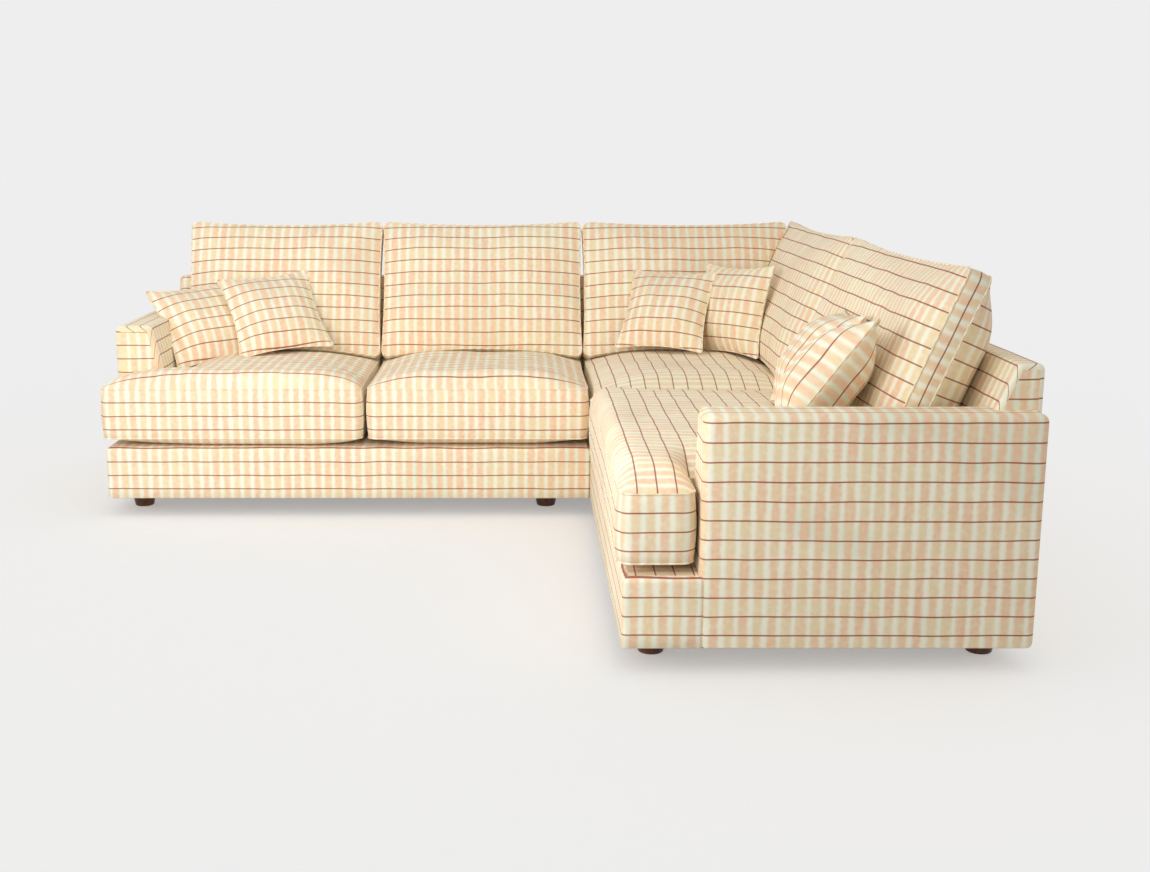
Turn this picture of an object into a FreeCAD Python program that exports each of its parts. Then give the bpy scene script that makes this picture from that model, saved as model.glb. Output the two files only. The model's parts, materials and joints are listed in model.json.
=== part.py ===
import FreeCAD, Part

import math
import os

from FreeCAD import Placement, Rotation, Vector

# Corner sofa: a long run on the left, a return on the right, loose seat, back and scatter cushions.
# Row frame: millimetres, +X right, +Y to the rear, +Z up, origin on the floor under the middle.

doc = FreeCAD.newDocument("corner_sofa")
sheet = doc.addObject("Spreadsheet::Sheet", "dims")
rowCount = 0
subparts = []


class Size(float):
    """A number of the sheet, or worked out from it, that keeps its formula."""

    def __new__(cls, value, text):
        made = float.__new__(cls, value)
        made.text = text
        return made

    def join(self, other, sign, value):
        text = other.text if isinstance(other, Size) else repr(other)
        return Size(value, "(" + self.text + " " + sign + " " + text + ")")

    def __add__(self, other):
        return self.join(other, "+", float(self) + float(other))

    def __sub__(self, other):
        return self.join(other, "-", float(self) - float(other))

    def __mul__(self, other):
        return self.join(other, "*", float(self) * float(other))

    def __truediv__(self, other):
        return self.join(other, "/", float(self) / float(other))

    def __neg__(self):
        return Size(-float(self), "(0 - " + self.text + ")")


def size(alias, value, note):
    """Write one driving dimension in the sheet and give it back as a Size."""
    global rowCount
    rowCount += 1
    sheet.set("A" + str(rowCount), note)
    cell = "B" + str(rowCount)
    sheet.set(cell, str(value))
    sheet.setAlias(cell, alias)
    return Size(value, "dims." + alias)


# Whole sofa
longWide = size("longWide", 1668, "long run, left arm face to the return")
longDeep = size("longDeep", 1000, "long run, front to rear")
returnDeep = size("returnDeep", 1000, "return, inner face to outer back")
returnLong = size("returnLong", 2492, "return, end arm face to rear")
plinthTall = size("plinthTall", 180, "upholstered base, foot top to deck")
armTall = size("armTall", 634, "arm top above the floor")
backTall = size("backTall", 746, "back frame top above the floor")
armTopWide = size("armTopWide", 128, "arm across its top")
armLowWide = size("armLowWide", 170, "arm across below its flared face")
flareTall = size("flareTall", 457, "height at which the arm flare ends")
earDeep = size("earDeep", 186, "arm set back from the plinth front")
backTopThick = size("backTopThick", 65, "back frame across its top")
backRake = size("backRake", 0.42, "lean of the back per millimetre of height")
backEndIn = size("backEndIn", 60, "back frame end inside the arm face")
edgeRound = size("edgeRound", 18, "rounding of upholstered edges")
coverThick = size("coverThick", 3, "tight cover with its lining")
padThick = size("padThick", 12, "foam under the tight cover")
clear = size("clear", 0.3, "air between pieces that can part")

# Timber, cloth and fixings
railThick = size("railThick", 25, "base rail thickness")
ribThick = size("ribThick", 22, "plywood rib thickness")
braceWide = size("braceWide", 45, "face of the arm and back rails")
dustThick = size("dustThick", 1.5, "dust cover cloth")
springDrop = size("springDrop", 8, "rail top below the deck cloth")
wireThick = size("wireThick", 4, "zigzag spring wire")
wavePitch = size("wavePitch", 40, "zigzag spring, bar to bar")
waveWide = size("waveWide", 28, "straight bar of the zigzag spring")
springPitch = size("springPitch", 135, "spring to spring")
clipLong = size("clipLong", 24, "spring clip along the bar")
clipDeep = size("clipDeep", 16, "spring clip across the bar")
clipTall = size("clipTall", 6, "spring clip height")
webWide = size("webWide", 60, "back webbing width")
webThick = size("webThick", 1.6, "back webbing thickness")
webPitch = size("webPitch", 95, "webbing strap to strap")

# Feet
footTall = size("footTall", 60, "foot height")
footTopWide = size("footTopWide", 90, "foot diameter at its top")
footLowWide = size("footLowWide", 64, "foot diameter at the floor")
footFront = size("footFront", 150, "foot centre behind a front face")
footSide = size("footSide", 85, "foot centre inside a side face")
boltWide = size("boltWide", 10, "foot bolt diameter")
boltInFoot = size("boltInFoot", 38, "foot bolt length in the foot")
blockWide = size("blockWide", 140, "corner block side")
blockTall = size("blockTall", 35, "corner block height")
nutFlangeWide = size("nutFlangeWide", 26, "tee nut flange diameter")
nutFlangeThick = size("nutFlangeThick", 2, "tee nut flange thickness")
nutBarrelWide = size("nutBarrelWide", 13, "tee nut barrel diameter")
nutBarrelTall = size("nutBarrelTall", 20, "tee nut barrel height")

# Joining brackets between the two frames
hookTall = size("hookTall", 70, "joining bracket height")
hookWide = size("hookWide", 40, "joining bracket width")
hookThick = size("hookThick", 2.5, "joining bracket plate thickness")
hookScrewWide = size("hookScrewWide", 5, "bracket screw shank diameter")
hookScrewLong = size("hookScrewLong", 20, "bracket screw shank length")
hookHeadWide = size("hookHeadWide", 10, "bracket screw head diameter")
hookHeadThick = size("hookHeadThick", 2, "bracket screw head thickness")
hookScrewGap = size("hookScrewGap", 36, "bracket screw to screw")

# Seat cushions
seatOver = size("seatOver", 19, "seat cushion past the plinth side")
seatMidWide = size("seatMidWide", 771, "middle seat cushion width")
seatBorder = size("seatBorder", 172, "seat cushion border height")
seatUnder = size("seatUnder", 28, "belly of a seat cushion under its border")
seatCrown = size("seatCrown", 58, "crown of a seat cushion over its border")
seatReach = size("seatReach", 230, "crown top in from the seam")
earCrown = size("earCrown", 24, "crown of the ear in front of an arm")
earReach = size("earReach", 62, "ear crown top in from the seam")
cushionGap = size("cushionGap", 6, "between neighbouring cushions")
endSeatWide = size("endSeatWide", 1337, "end seat cushion, end face to the corner seat")
seatRound = size("seatRound", 38, "seat cushion corner radius in plan")
seatBulge = size("seatBulge", 6, "border of a seat cushion swells out")
seatDraw = size("seatDraw", 5, "side of a seat cushion drawn in between its corners")
casingThick = size("casingThick", 8, "loose cushion casing with its fibre wrap")
topRound = size("topRound", 0.3, "corner radius at the crown, as a share of the seam's")
bellySteps = size("bellySteps", 3, "sections from a cushion's seam to its belly")
topSteps = size("topSteps", 5, "sections from a cushion's seam to its crown")
minRound = size("minRound", 4, "smallest corner radius inside a casing")
stepEase = size("stepEase", 1.5, "how the sections of a crown gather at its seam")

# Back cushions
backCushTall = size("backCushTall", 545, "back cushion height along its lean")
backBorder = size("backBorder", 57, "back cushion border width")
backCrown = size("backCrown", 45, "back cushion crown towards the seat")
backBelly = size("backBelly", 120, "back cushion crown towards the frame")
backReach = size("backReach", 170, "back cushion crown top in from the seam")
backFoot = size("backFoot", 0.5, "back cushion corner above the seat seam")
backArch = size("backArch", 34, "arch of the back cushion's lower edge")
backDip = size("backDip", 16, "dip of the back cushion's top edge")
backDraw = size("backDraw", 8, "side of a back cushion drawn in between its corners")
backRound = size("backRound", 30, "back cushion corner radius")
backArmIn = size("backArmIn", 142, "back cushion end inside the arm face")
cornerTopIn = size("cornerTopIn", 233, "corner back cushion's top inside the outer back")
cornerLowIn = size("cornerLowIn", 165, "slant of the corner back cushion's end")
sideFarIn = size("sideFarIn", 205, "corner side cushion's foot inside the rear")
sideFarLean = size("sideFarLean", 105, "lean of the corner side cushion's far end")

# Scatter cushions
scatterWide = size("scatterWide", 360, "scatter cushion tip to tip")
scatterSmall = size("scatterSmall", 345, "smaller scatter cushion tip to tip")
scatterHalf = size("scatterHalf", 55, "scatter cushion, seam to crown")
scatterSeam = size("scatterSeam", 6, "scatter cushion edge at its seam")
scatterReach = size("scatterReach", 130, "scatter cushion crown top in from the seam")
scatterDraw = size("scatterDraw", 20, "scatter cushion side drawn in")
scatterRound = size("scatterRound", 12, "scatter cushion corner radius")

doc.recompute()

# Faces and levels that pieces share
leftFace = (seatOver - longWide - returnDeep) / 2
innerFace = leftFace + longWide
rightFace = innerFace + returnDeep
frontFace = -returnLong / 2
rearFace = frontFace + returnLong
longFront = rearFace - longDeep
deckTop = footTall + plinthTall
seamLow = deckTop + clear + seatUnder
seamTop = seamLow + seatBorder
backDeckThick = backTopThick + (backTall - deckTop) * backRake
railLow = footTall + dustThick
railTop = deckTop - coverThick - springDrop
rakeAngle = math.degrees(math.atan(backRake))
rakeCos = math.cos(math.atan(backRake))
deckRear = rearFace - backDeckThick
deckRight = rightFace - backDeckThick
leftArmIn = leftFace + armLowWide
endArmIn = frontFace + armLowWide


def bind(target, prop, value):
    """Set a property from a Size through its formula, or from a plain number."""
    if isinstance(value, Size):
        target.setExpression(prop, value.text)
    else:
        setattr(target, prop, value)


def keep(target, label):
    """Name a finished sub-part; its label is also its file name."""
    target.Label = label
    subparts.append(target)
    return target


def block(name, low, high):
    """A box between two corners, with sizes and place bound to the sheet."""
    made = doc.addObject("Part::Box", name)
    for prop, axis in (("Length", 0), ("Width", 1), ("Height", 2)):
        bind(made, prop, high[axis] - low[axis])
    for prop, axis in (("x", 0), ("y", 1), ("z", 2)):
        made.setExpression("Placement.Base." + prop, low[axis].text)
    return made


def drilled(base, tool):
    """A part less the room that another one takes."""
    made = doc.addObject("Part::Cut", base.Name + "Drilled")
    made.Base = base
    made.Tool = tool
    return made


def trimmed(base, tool):
    """What is left of a part inside another one."""
    made = doc.addObject("Part::Common", base.Name + "Trimmed")
    made.Base = base
    made.Tool = tool
    return made


def group(label, members):
    """Several separate solids that share one node."""
    made = doc.addObject("Part::Compound", label)
    made.Links = members
    return keep(made, label)


def feature(label, shape, placement=None):
    """A sub-part whose shape is worked out from the sheet's values."""
    made = doc.addObject("Part::Feature", label)
    made.Shape = shape
    if placement:
        made.Placement = placement
    return keep(made, label)


def boxShape(low, high):
    return Part.makeBox(high[0] - low[0], high[1] - low[1], high[2] - low[2], Vector(*low))


# Sections of the tight upholstery, drawn as (distance in from the outer face, height)
def offsetPolygon(points, insets):
    """Move each side of an anticlockwise polygon inwards by its own distance."""
    moved = []
    for index, point in enumerate(points):
        before = point - points[index - 1]
        after = points[(index + 1) % len(points)] - point
        before.normalize()
        after.normalize()
        normalA = Vector(-before.y, before.x, 0)
        normalB = Vector(-after.y, after.x, 0)
        insetA = insets[index - 1]
        insetB = insets[index]
        cosine = normalA.dot(normalB)
        shareA = (insetA - cosine * insetB) / (1 - cosine * cosine)
        shareB = (insetB - cosine * insetA) / (1 - cosine * cosine)
        moved.append(point + normalA * shareA + normalB * shareB)
    return moved


def armSection(inset, low):
    corners = [
        Vector(0, low - inset, 0),
        Vector(armLowWide, low - inset, 0),
        Vector(armLowWide, flareTall, 0),
        Vector(armTopWide, armTall, 0),
        Vector(0, armTall, 0),
    ]
    return offsetPolygon(corners, [inset] * len(corners))


def backSection(inset, low):
    corners = [
        Vector(0, low - inset, 0),
        Vector(backDeckThick, low - inset, 0),
        Vector(backDeckThick, deckTop, 0),
        Vector(backTopThick, backTall, 0),
        Vector(0, backTall, 0),
    ]
    return offsetPolygon(corners, [inset] * len(corners))


def extrude(section, outward, along, start, length):
    """Stand a section up: outward is its x direction, along the direction it runs in."""
    corners = [start + outward * p.x + Vector(0, 0, p.y) for p in section]
    face = Part.Face(Part.makePolygon(corners + [corners[0]]))
    return face.extrude(along * length)


def softened(shape, radius, low):
    """Round every edge that does not lie in the bottom plane."""
    chosen = []
    for edge in shape.Edges:
        if edge.BoundBox.ZMax > low + radius:
            chosen.append(edge)
    return shape.makeFillet(radius, chosen)


def armForm(inset):
    """Left arm, from the ear to the rear."""
    section = armSection(inset, footTall)
    start = Vector(leftFace, longFront + earDeep + inset, 0)
    return extrude(section, Vector(1, 0, 0), Vector(0, 1, 0), start, longDeep - earDeep - 2 * inset)


def endArmForm(inset):
    """End arm, across the end of the return."""
    section = armSection(inset, footTall)
    start = Vector(innerFace + earDeep + inset, frontFace, 0)
    return extrude(section, Vector(0, 1, 0), Vector(1, 0, 0), start, returnDeep - earDeep - 2 * inset)


def rearForm(inset, left, right):
    """Raked back along the rear, from left to right."""
    section = backSection(inset, footTall)
    start = Vector(left + inset, rearFace, 0)
    return extrude(section, Vector(0, -1, 0), Vector(1, 0, 0), start, right - left - 2 * inset)


def sideForm(inset, front, rear):
    """Raked back along the outer side of the return."""
    section = backSection(inset, footTall)
    start = Vector(rightFace, front + inset, 0)
    return extrude(section, Vector(-1, 0, 0), Vector(0, 1, 0), start, rear - front - 2 * inset)


def longBackForm(inset):
    return rearForm(inset, leftFace + backEndIn, innerFace)


def returnBackForm(inset):
    rear = rearForm(inset, innerFace, rightFace)
    side = sideForm(inset, frontFace + backEndIn, rearFace)
    return rear.fuse(side).removeSplitter()


def openBelow(shape):
    """The part of a shape above the underside of the base."""
    box = shape.BoundBox
    slab = boxShape((box.XMin, box.YMin, footTall), (box.XMax, box.YMax, box.ZMax))
    return shape.common(slab)


# Base rails stand inside the plinth covers: name, low corner and high corner in plan
skin = coverThick
railEar = longFront + earDeep - skin
longRails = (
    ("longFrontRail", (leftFace + skin, longFront + skin), (innerFace - skin, longFront + skin + railThick)),
    ("longRearRail", (leftArmIn + skin, deckRear - skin - railThick), (innerFace - skin, deckRear - skin)),
    ("longEarRail", (leftFace + skin, longFront + skin + railThick), (leftFace + skin + railThick, railEar)),
    (
        "longJoinRail",
        (innerFace - skin - railThick, longFront + skin + railThick),
        (innerFace - skin, deckRear - skin - railThick),
    ),
    (
        "longArmRail",
        (leftArmIn + skin, longFront + skin + railThick),
        (leftArmIn + skin + railThick, deckRear - skin - railThick),
    ),
    (
        "longMidRail",
        ((leftArmIn + innerFace) / 2, longFront + skin + railThick),
        ((leftArmIn + innerFace) / 2 + railThick, deckRear - skin - railThick),
    ),
)
returnEar = innerFace + earDeep - skin
returnRails = (
    ("returnInnerRail", (innerFace + skin, frontFace + skin), (innerFace + skin + railThick, deckRear - skin)),
    ("returnOuterRail", (deckRight - skin - railThick, endArmIn + skin), (deckRight - skin, deckRear - skin)),
    ("returnEarRail", (innerFace + skin + railThick, frontFace + skin), (returnEar, frontFace + skin + railThick)),
    (
        "returnArmRail",
        (innerFace + skin + railThick, endArmIn + skin),
        (deckRight - skin - railThick, endArmIn + skin + railThick),
    ),
    (
        "returnRearRail",
        (innerFace + skin + railThick, deckRear - skin - railThick),
        (deckRight - skin - railThick, deckRear - skin),
    ),
    (
        "returnMidRail",
        (innerFace + skin + railThick, longFront),
        (deckRight - skin - railThick, longFront + railThick),
    ),
)

# Corner blocks carry the feet; a tee nut in each block takes the foot bolt
footPlaces = (
    (leftFace + footSide, longFront + footFront),
    (innerFace - footFront, longFront + footFront),
    (leftFace + footSide, rearFace - footSide),
    (innerFace - footFront, rearFace - footSide),
    (innerFace + footSide, frontFace + footFront),
    (rightFace - footSide, frontFace + footFront),
    (innerFace + footSide, longFront + footFront),
    (rightFace - footSide, longFront),
    (innerFace + footSide, rearFace - footSide),
    (rightFace - footSide, rearFace - footSide),
)
reachJoin = footFront - skin - railThick
blockRight = {1: reachJoin, 3: reachJoin}
railShapes = [boxShape((*low, railLow), (*high, railTop)) for name, low, high in longRails + returnRails]
feet = []
bolts = []
nuts = []
blocks = []
blockTop = railLow + blockTall
boltLow = footTall - boltInFoot


def largest(shape):
    return max(shape.Solids, key=lambda solid: solid.Volume)


for index, (placeX, placeY) in enumerate(footPlaces):
    centre = Vector(placeX, placeY, 0)
    right = blockRight.get(index, blockWide / 2)
    cone = Part.makeCone(footLowWide / 2, footTopWide / 2, footTall, centre)
    cone = cone.makeFillet(boltWide / 2, [cone.Edges[0], cone.Edges[2]])
    shank = Part.makeCylinder(boltWide / 2, blockTop - boltLow, centre + Vector(0, 0, boltLow))
    feet.append(cone.cut(shank))
    bolts.append(shank)
    flange = Part.makeCylinder(nutFlangeWide / 2, nutFlangeThick, centre + Vector(0, 0, blockTop))
    barrelLow = centre + Vector(0, 0, blockTop - nutBarrelTall)
    barrel = Part.makeCylinder(nutBarrelWide / 2, nutBarrelTall, barrelLow)
    nuts.append(flange.fuse(barrel).cut(shank))
    low = (placeX - blockWide / 2, placeY - blockWide / 2, railLow)
    high = (placeX + right, placeY + blockWide / 2, blockTop)
    wood = boxShape(low, high)
    for rail in railShapes:
        if wood.BoundBox.intersect(rail.BoundBox):
            wood = wood.cut(rail)
    blocks.append(largest(wood).cut(barrel).cut(shank))

feature("feet", Part.makeCompound(feet))
feature("foot_bolts", Part.makeCompound(bolts))
feature("tee_nuts", Part.makeCompound(nuts))
feature("corner_blocks", Part.makeCompound(blocks))

# Dust cover cloth closes the base from below, with a hole for each foot bolt
longDust = boxShape(
    (leftFace + skin, longFront + skin, footTall),
    (innerFace - skin, rearFace - skin, railLow),
)
returnDust = boxShape(
    (innerFace + skin, frontFace + skin, footTall),
    (rightFace - skin, rearFace - skin, railLow),
)
sheets = []
for dust in (longDust, returnDust):
    for bolt in bolts:
        if dust.BoundBox.intersect(bolt.BoundBox):
            dust = dust.cut(bolt)
    sheets.append(dust)
feature("dust_covers", Part.makeCompound(sheets))


def roomFor(shape):
    """Notch a hidden wall or rib around the corner blocks, nuts and dust covers."""
    for other in blocks + nuts + bolts + sheets:
        if shape.BoundBox.intersect(other.BoundBox):
            shape = shape.cut(other)
    return shape


# Each tight form gives a cover, foam under it and a core that the timber keeps inside
coverIn = coverThick
padIn = coverThick + padThick
woodIn = padIn + webThick

leftArmOuter = softened(openBelow(armForm(0)), edgeRound, footTall)
endArmOuter = softened(openBelow(endArmForm(0)), edgeRound, footTall)
longBackOuter = softened(openBelow(longBackForm(0)), edgeRound, footTall)
returnBackOuter = softened(openBelow(returnBackForm(0)), edgeRound, footTall)
innerRound = edgeRound - coverIn
leftArmInner = softened(openBelow(armForm(coverIn)), innerRound, footTall)
endArmInner = softened(openBelow(endArmForm(coverIn)), innerRound, footTall)
longBackInner = softened(openBelow(longBackForm(coverIn)), innerRound, footTall)
returnBackInner = softened(openBelow(returnBackForm(coverIn)), innerRound, footTall)
leftArmBlock = armForm(0)
endArmBlock = endArmForm(0)

feature("left_arm_cover", roomFor(leftArmOuter.cut(leftArmInner)))
feature("end_arm_cover", roomFor(endArmOuter.cut(endArmInner)))
feature("left_arm_padding", roomFor(leftArmInner.cut(openBelow(armForm(padIn)))))
feature("end_arm_padding", roomFor(endArmInner.cut(openBelow(endArmForm(padIn)))))
feature("long_back_cover", roomFor(longBackOuter.cut(longBackInner).cut(leftArmBlock)))
feature("return_back_cover", roomFor(returnBackOuter.cut(returnBackInner).cut(endArmBlock)))
longPad = longBackInner.cut(openBelow(longBackForm(padIn))).cut(leftArmBlock)
returnPad = returnBackInner.cut(openBelow(returnBackForm(padIn))).cut(endArmBlock)
feature("long_back_padding", roomFor(longPad))
feature("return_back_padding", roomFor(returnPad))


# Plinth covers: skirt and deck cloth in one, open below
def plinthForm(boxes, inset, top):
    made = None
    for low, high in boxes:
        corner = (low[0] + inset, low[1] + inset, footTall)
        part = boxShape(corner, (high[0] - inset, high[1] - inset, top))
        made = made.fuse(part) if made else part
    return made.removeSplitter()


longPlinth = (
    ((leftFace, longFront), (innerFace, longFront + earDeep)),
    ((leftArmIn, longFront), (innerFace, deckRear)),
)
returnPlinth = (
    ((innerFace, frontFace), (innerFace + earDeep, deckRear)),
    ((innerFace, endArmIn), (deckRight, deckRear)),
)
cores = {}
for label, boxes in (("long_plinth_cover", longPlinth), ("return_plinth_cover", returnPlinth)):
    outer = softened(plinthForm(boxes, 0, deckTop), edgeRound, footTall)
    inner = softened(plinthForm(boxes, coverThick, deckTop - coverThick), innerRound, footTall)
    feature(label, roomFor(outer.cut(inner)))
    cores[label] = doc.addObject("Part::Feature", label + "_core")
    cores[label].Shape = inner

# Two hooks on the long run drop over two plates on the return
hooks = []
plates = []
screws = []
hookLow = (railLow + railTop) / 2 - hookTall / 2


def bracket(face, place, side):
    """Flat plate against a rail face; side is the way that it stands off the rail."""
    near = face if side > 0 else face - hookThick
    low = Vector(near, place - hookWide / 2, hookLow)
    return Part.makeBox(hookThick, hookWide, hookTall, low)


def bracketScrew(face, place, height, side):
    """Countersunk screw through the plate into the rail."""
    into = Vector(-side, 0, 0)
    outer = Vector(face + side * hookThick, place, height)
    head = Part.makeCylinder(hookHeadWide / 2, hookHeadThick, outer, into)
    shank = Part.makeCylinder(hookScrewWide / 2, hookScrewLong, outer, into)
    return head.fuse(shank)


longJoin = innerFace - skin - railThick
returnJoin = innerFace + skin + railThick
joinDepth = deckRear - longFront
for share in (0.25, 0.75):
    place = longFront + joinDepth * share
    for face, side, holder in ((longJoin, -1, hooks), (returnJoin, 1, plates)):
        plate = bracket(face, place, side)
        for offset in (-hookScrewGap / 2, hookScrewGap / 2):
            screw = bracketScrew(face, place, hookLow + hookTall / 2 + offset, side)
            screws.append(screw)
            plate = plate.cut(screw)
        holder.append(plate)

feature("bracket_hooks", Part.makeCompound(hooks))
feature("bracket_plates", Part.makeCompound(plates))
screwSet = feature("bracket_screws", Part.makeCompound(screws))

# Rails are eased to the rounding of the cover; the joining rails are drilled for the bracket screws
railSets = (
    ("long_base_rails", longRails, cores["long_plinth_cover"]),
    ("return_base_rails", returnRails, cores["return_plinth_cover"]),
)
for label, rails, core in railSets:
    members = []
    for name, low, high in rails:
        rail = trimmed(block(name, (*low, railLow), (*high, railTop)), core)
        if name in ("longJoinRail", "returnInnerRail"):
            rail = drilled(rail, screwSet)
        members.append(rail)
    group(label, members)

# Zigzag springs hang between clips on the front and rear rails
wireZ = railTop + clipTall / 2


def zigzag(start, across, along, reach):
    """One spring: bars across, joined by half turns, from start along its reach."""
    pitch = float(wavePitch)
    bars = int(reach / pitch)
    pitch = reach / bars
    half = float(waveWide) / 2
    edges = []
    side = 1
    for index in range(bars + 1):
        centre = start + along * (pitch * index)
        near = centre - across * (half * side)
        far = centre + across * (half * side)
        edges.append(Part.LineSegment(near, far).toShape())
        if index < bars:
            middle = far + along * (pitch / 2) + across * (pitch / 2 * side)
            edges.append(Part.Arc(far, middle, far + along * pitch).toShape())
        side = -side
    path = Part.Wire(edges)
    ring = Part.Wire(Part.makeCircle(wireThick / 2, start - across * half, across))
    return path.makePipeShell([ring], True, False)


def clip(centre, across, along):
    """Steel clip with the wire's bar through it."""
    low = centre - across * (clipLong / 2) - along * (clipDeep / 2) - Vector(0, 0, clipTall / 2)
    high = centre + across * (clipLong / 2) + along * (clipDeep / 2) + Vector(0, 0, clipTall / 2)
    body = Part.makeBox(
        abs(high.x - low.x),
        abs(high.y - low.y),
        clipTall,
        Vector(min(low.x, high.x), min(low.y, high.y), low.z),
    )
    bore = Part.makeCylinder(wireThick / 2, clipLong, centre - across * (clipLong / 2), across)
    return body.cut(bore)


springs = []
clips = []
clipIn = skin + railThick - clipDeep / 2
frontLine = longFront + clipIn
rearLine = deckRear - clipIn
count = int((innerFace - leftArmIn - 2 * railThick) / springPitch)
for index in range(count):
    place = leftArmIn + (innerFace - leftArmIn) * ((index + 0.5) / count)
    start = Vector(place, frontLine, wireZ)
    springs.append(zigzag(start, Vector(1, 0, 0), Vector(0, 1, 0), rearLine - frontLine))
    for line in (frontLine, rearLine):
        clips.append(clip(Vector(place, line, wireZ), Vector(1, 0, 0), Vector(0, 1, 0)))
innerLine = innerFace + clipIn
outerLine = deckRight - clipIn
count = int((deckRear - endArmIn - 2 * railThick) / springPitch)
for index in range(count):
    place = endArmIn + (deckRear - endArmIn) * ((index + 0.5) / count)
    start = Vector(innerLine, place, wireZ)
    springs.append(zigzag(start, Vector(0, 1, 0), Vector(1, 0, 0), outerLine - innerLine))
    for line in (innerLine, outerLine):
        clips.append(clip(Vector(line, place, wireZ), Vector(0, 1, 0), Vector(1, 0, 0)))
feature("seat_springs", Part.makeCompound(springs))
feature("spring_clips", Part.makeCompound(clips))


# Plywood ribs and rails inside the arms and backs
def woodSection(section):
    """Lift the foot of a section to the top of the dust cover."""
    lifted = []
    for point in section:
        lifted.append(Vector(point.x, max(point.y, railLow), 0))
    return lifted


def frameFeature(label, solids):
    """Timber pieces of one frame, with room for the blocks and nuts between them."""
    members = []
    for solid in solids:
        members.extend(roomFor(solid).Solids)
    feature(label, Part.makeCompound(members))


def armFrame(label, start, outward, along, length):
    section = woodSection(armSection(padIn, footTall))
    inner = armLowWide - 2 * padIn
    rails = []
    for height in (railLow, armTall - padIn - ribThick):
        across = inner if height < flareTall else armTopWide - 2 * padIn
        low = start + outward * padIn + along * padIn + Vector(0, 0, height)
        high = low + outward * across + along * (length - 2 * padIn) + Vector(0, 0, ribThick)
        rails.append(Part.makeBox(
            abs(high.x - low.x),
            abs(high.y - low.y),
            ribThick,
            Vector(min(low.x, high.x), min(low.y, high.y), low.z),
        ))
    solids = list(rails)
    for share in (0, 0.5, 1):
        offset = padIn + (length - 2 * padIn - ribThick) * share
        rib = extrude(section, outward, along, start + along * offset, ribThick)
        for rail in rails:
            rib = rib.cut(rail)
        solids.extend(rib.Solids)
    frameFeature(label, solids)


armLong = longDeep - earDeep
armFrame("left_arm_frame", Vector(leftFace, longFront + earDeep, 0), Vector(1, 0, 0), Vector(0, 1, 0), armLong)
armAcross = returnDeep - earDeep
armFrame("end_arm_frame", Vector(innerFace + earDeep, frontFace, 0), Vector(0, 1, 0), Vector(1, 0, 0), armAcross)


def spanBox(start, outward, along, across, length, low, high):
    """A box that runs along a back frame, across its depth and between two heights."""
    near = start + outward * across[0] + along * length[0]
    far = start + outward * across[1] + along * length[1]
    return Part.makeBox(
        abs(far.x - near.x),
        abs(far.y - near.y),
        high - low,
        Vector(min(near.x, far.x), min(near.y, far.y), low),
    )


def backRails(start, outward, along, length, topStart):
    """Foot, middle and top rail, one above the other on the outer side."""
    across = (padIn, padIn + ribThick)
    rails = []
    for height in (railLow, (deckTop + backTall) / 2):
        rails.append(spanBox(start, outward, along, across, length, height, height + braceWide))
    top = backTall - padIn
    rails.append(spanBox(start, outward, along, across, (topStart, length[1]), top - braceWide, top))
    return rails


def backRibs(start, outward, along, places, rails):
    section = woodSection(backSection(woodIn, footTall))
    section = [Vector(max(p.x, padIn), p.y, 0) for p in section]
    ribs = []
    for place in places:
        rib = extrude(section, outward, along, start + along * place, ribThick)
        for rail in rails:
            rib = rib.cut(rail)
        ribs.extend(rib.Solids)
    return ribs


rearStart = Vector(leftArmIn, rearFace, 0)
longBackLong = innerFace - leftArmIn
overArm = backEndIn + padIn - armLowWide
longRailSet = backRails(rearStart, Vector(0, -1, 0), Vector(1, 0, 0), (clear, longBackLong - padIn), overArm)
longPlaces = [(longBackLong - padIn - ribThick - clear) * (step / 3) + clear for step in range(4)]
longRibSet = backRibs(rearStart, Vector(0, -1, 0), Vector(1, 0, 0), longPlaces, longRailSet)
frameFeature("long_back_frame", longRailSet + longRibSet)

cornerStart = Vector(innerFace, rearFace, 0)
rearSpan = (padIn, returnDeep - padIn)
rearRailSet = backRails(cornerStart, Vector(0, -1, 0), Vector(1, 0, 0), rearSpan, padIn)
rearPlaces = [padIn + (returnDeep - backDeckThick - padIn - ribThick) * (step / 2) for step in range(3)]
rearRibSet = backRibs(cornerStart, Vector(0, -1, 0), Vector(1, 0, 0), rearPlaces, rearRailSet)
sideStart = Vector(rightFace, endArmIn, 0)
sideLong = rearFace - endArmIn
sideSpan = (clear, sideLong - padIn - ribThick)
sideRailSet = backRails(sideStart, Vector(-1, 0, 0), Vector(0, 1, 0), sideSpan, overArm)
sidePlaces = [clear + (sideLong - backDeckThick - ribThick) * (step / 4) for step in range(5)]
sideRibSet = backRibs(sideStart, Vector(-1, 0, 0), Vector(0, 1, 0), sidePlaces, sideRailSet)
frameFeature("return_back_frame", rearRailSet + rearRibSet + sideRailSet + sideRibSet)


# Webbing straps lie on the raked faces of the ribs
def strap(start, outward, turn, length, height):
    """One strap from length[0] to length[1] along the back, its middle at a height."""
    depth = backTopThick + (backTall - height) * backRake
    centre = start + outward * (depth - padIn / rakeCos) + Vector(0, 0, height)
    made = Part.makeBox(length[1] - length[0], webThick, webWide, Vector(length[0], 0, -webWide / 2))
    made.Placement = Placement(centre, Rotation(Vector(0, 0, 1), turn) * Rotation(Vector(1, 0, 0), -rakeAngle))
    return made


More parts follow.
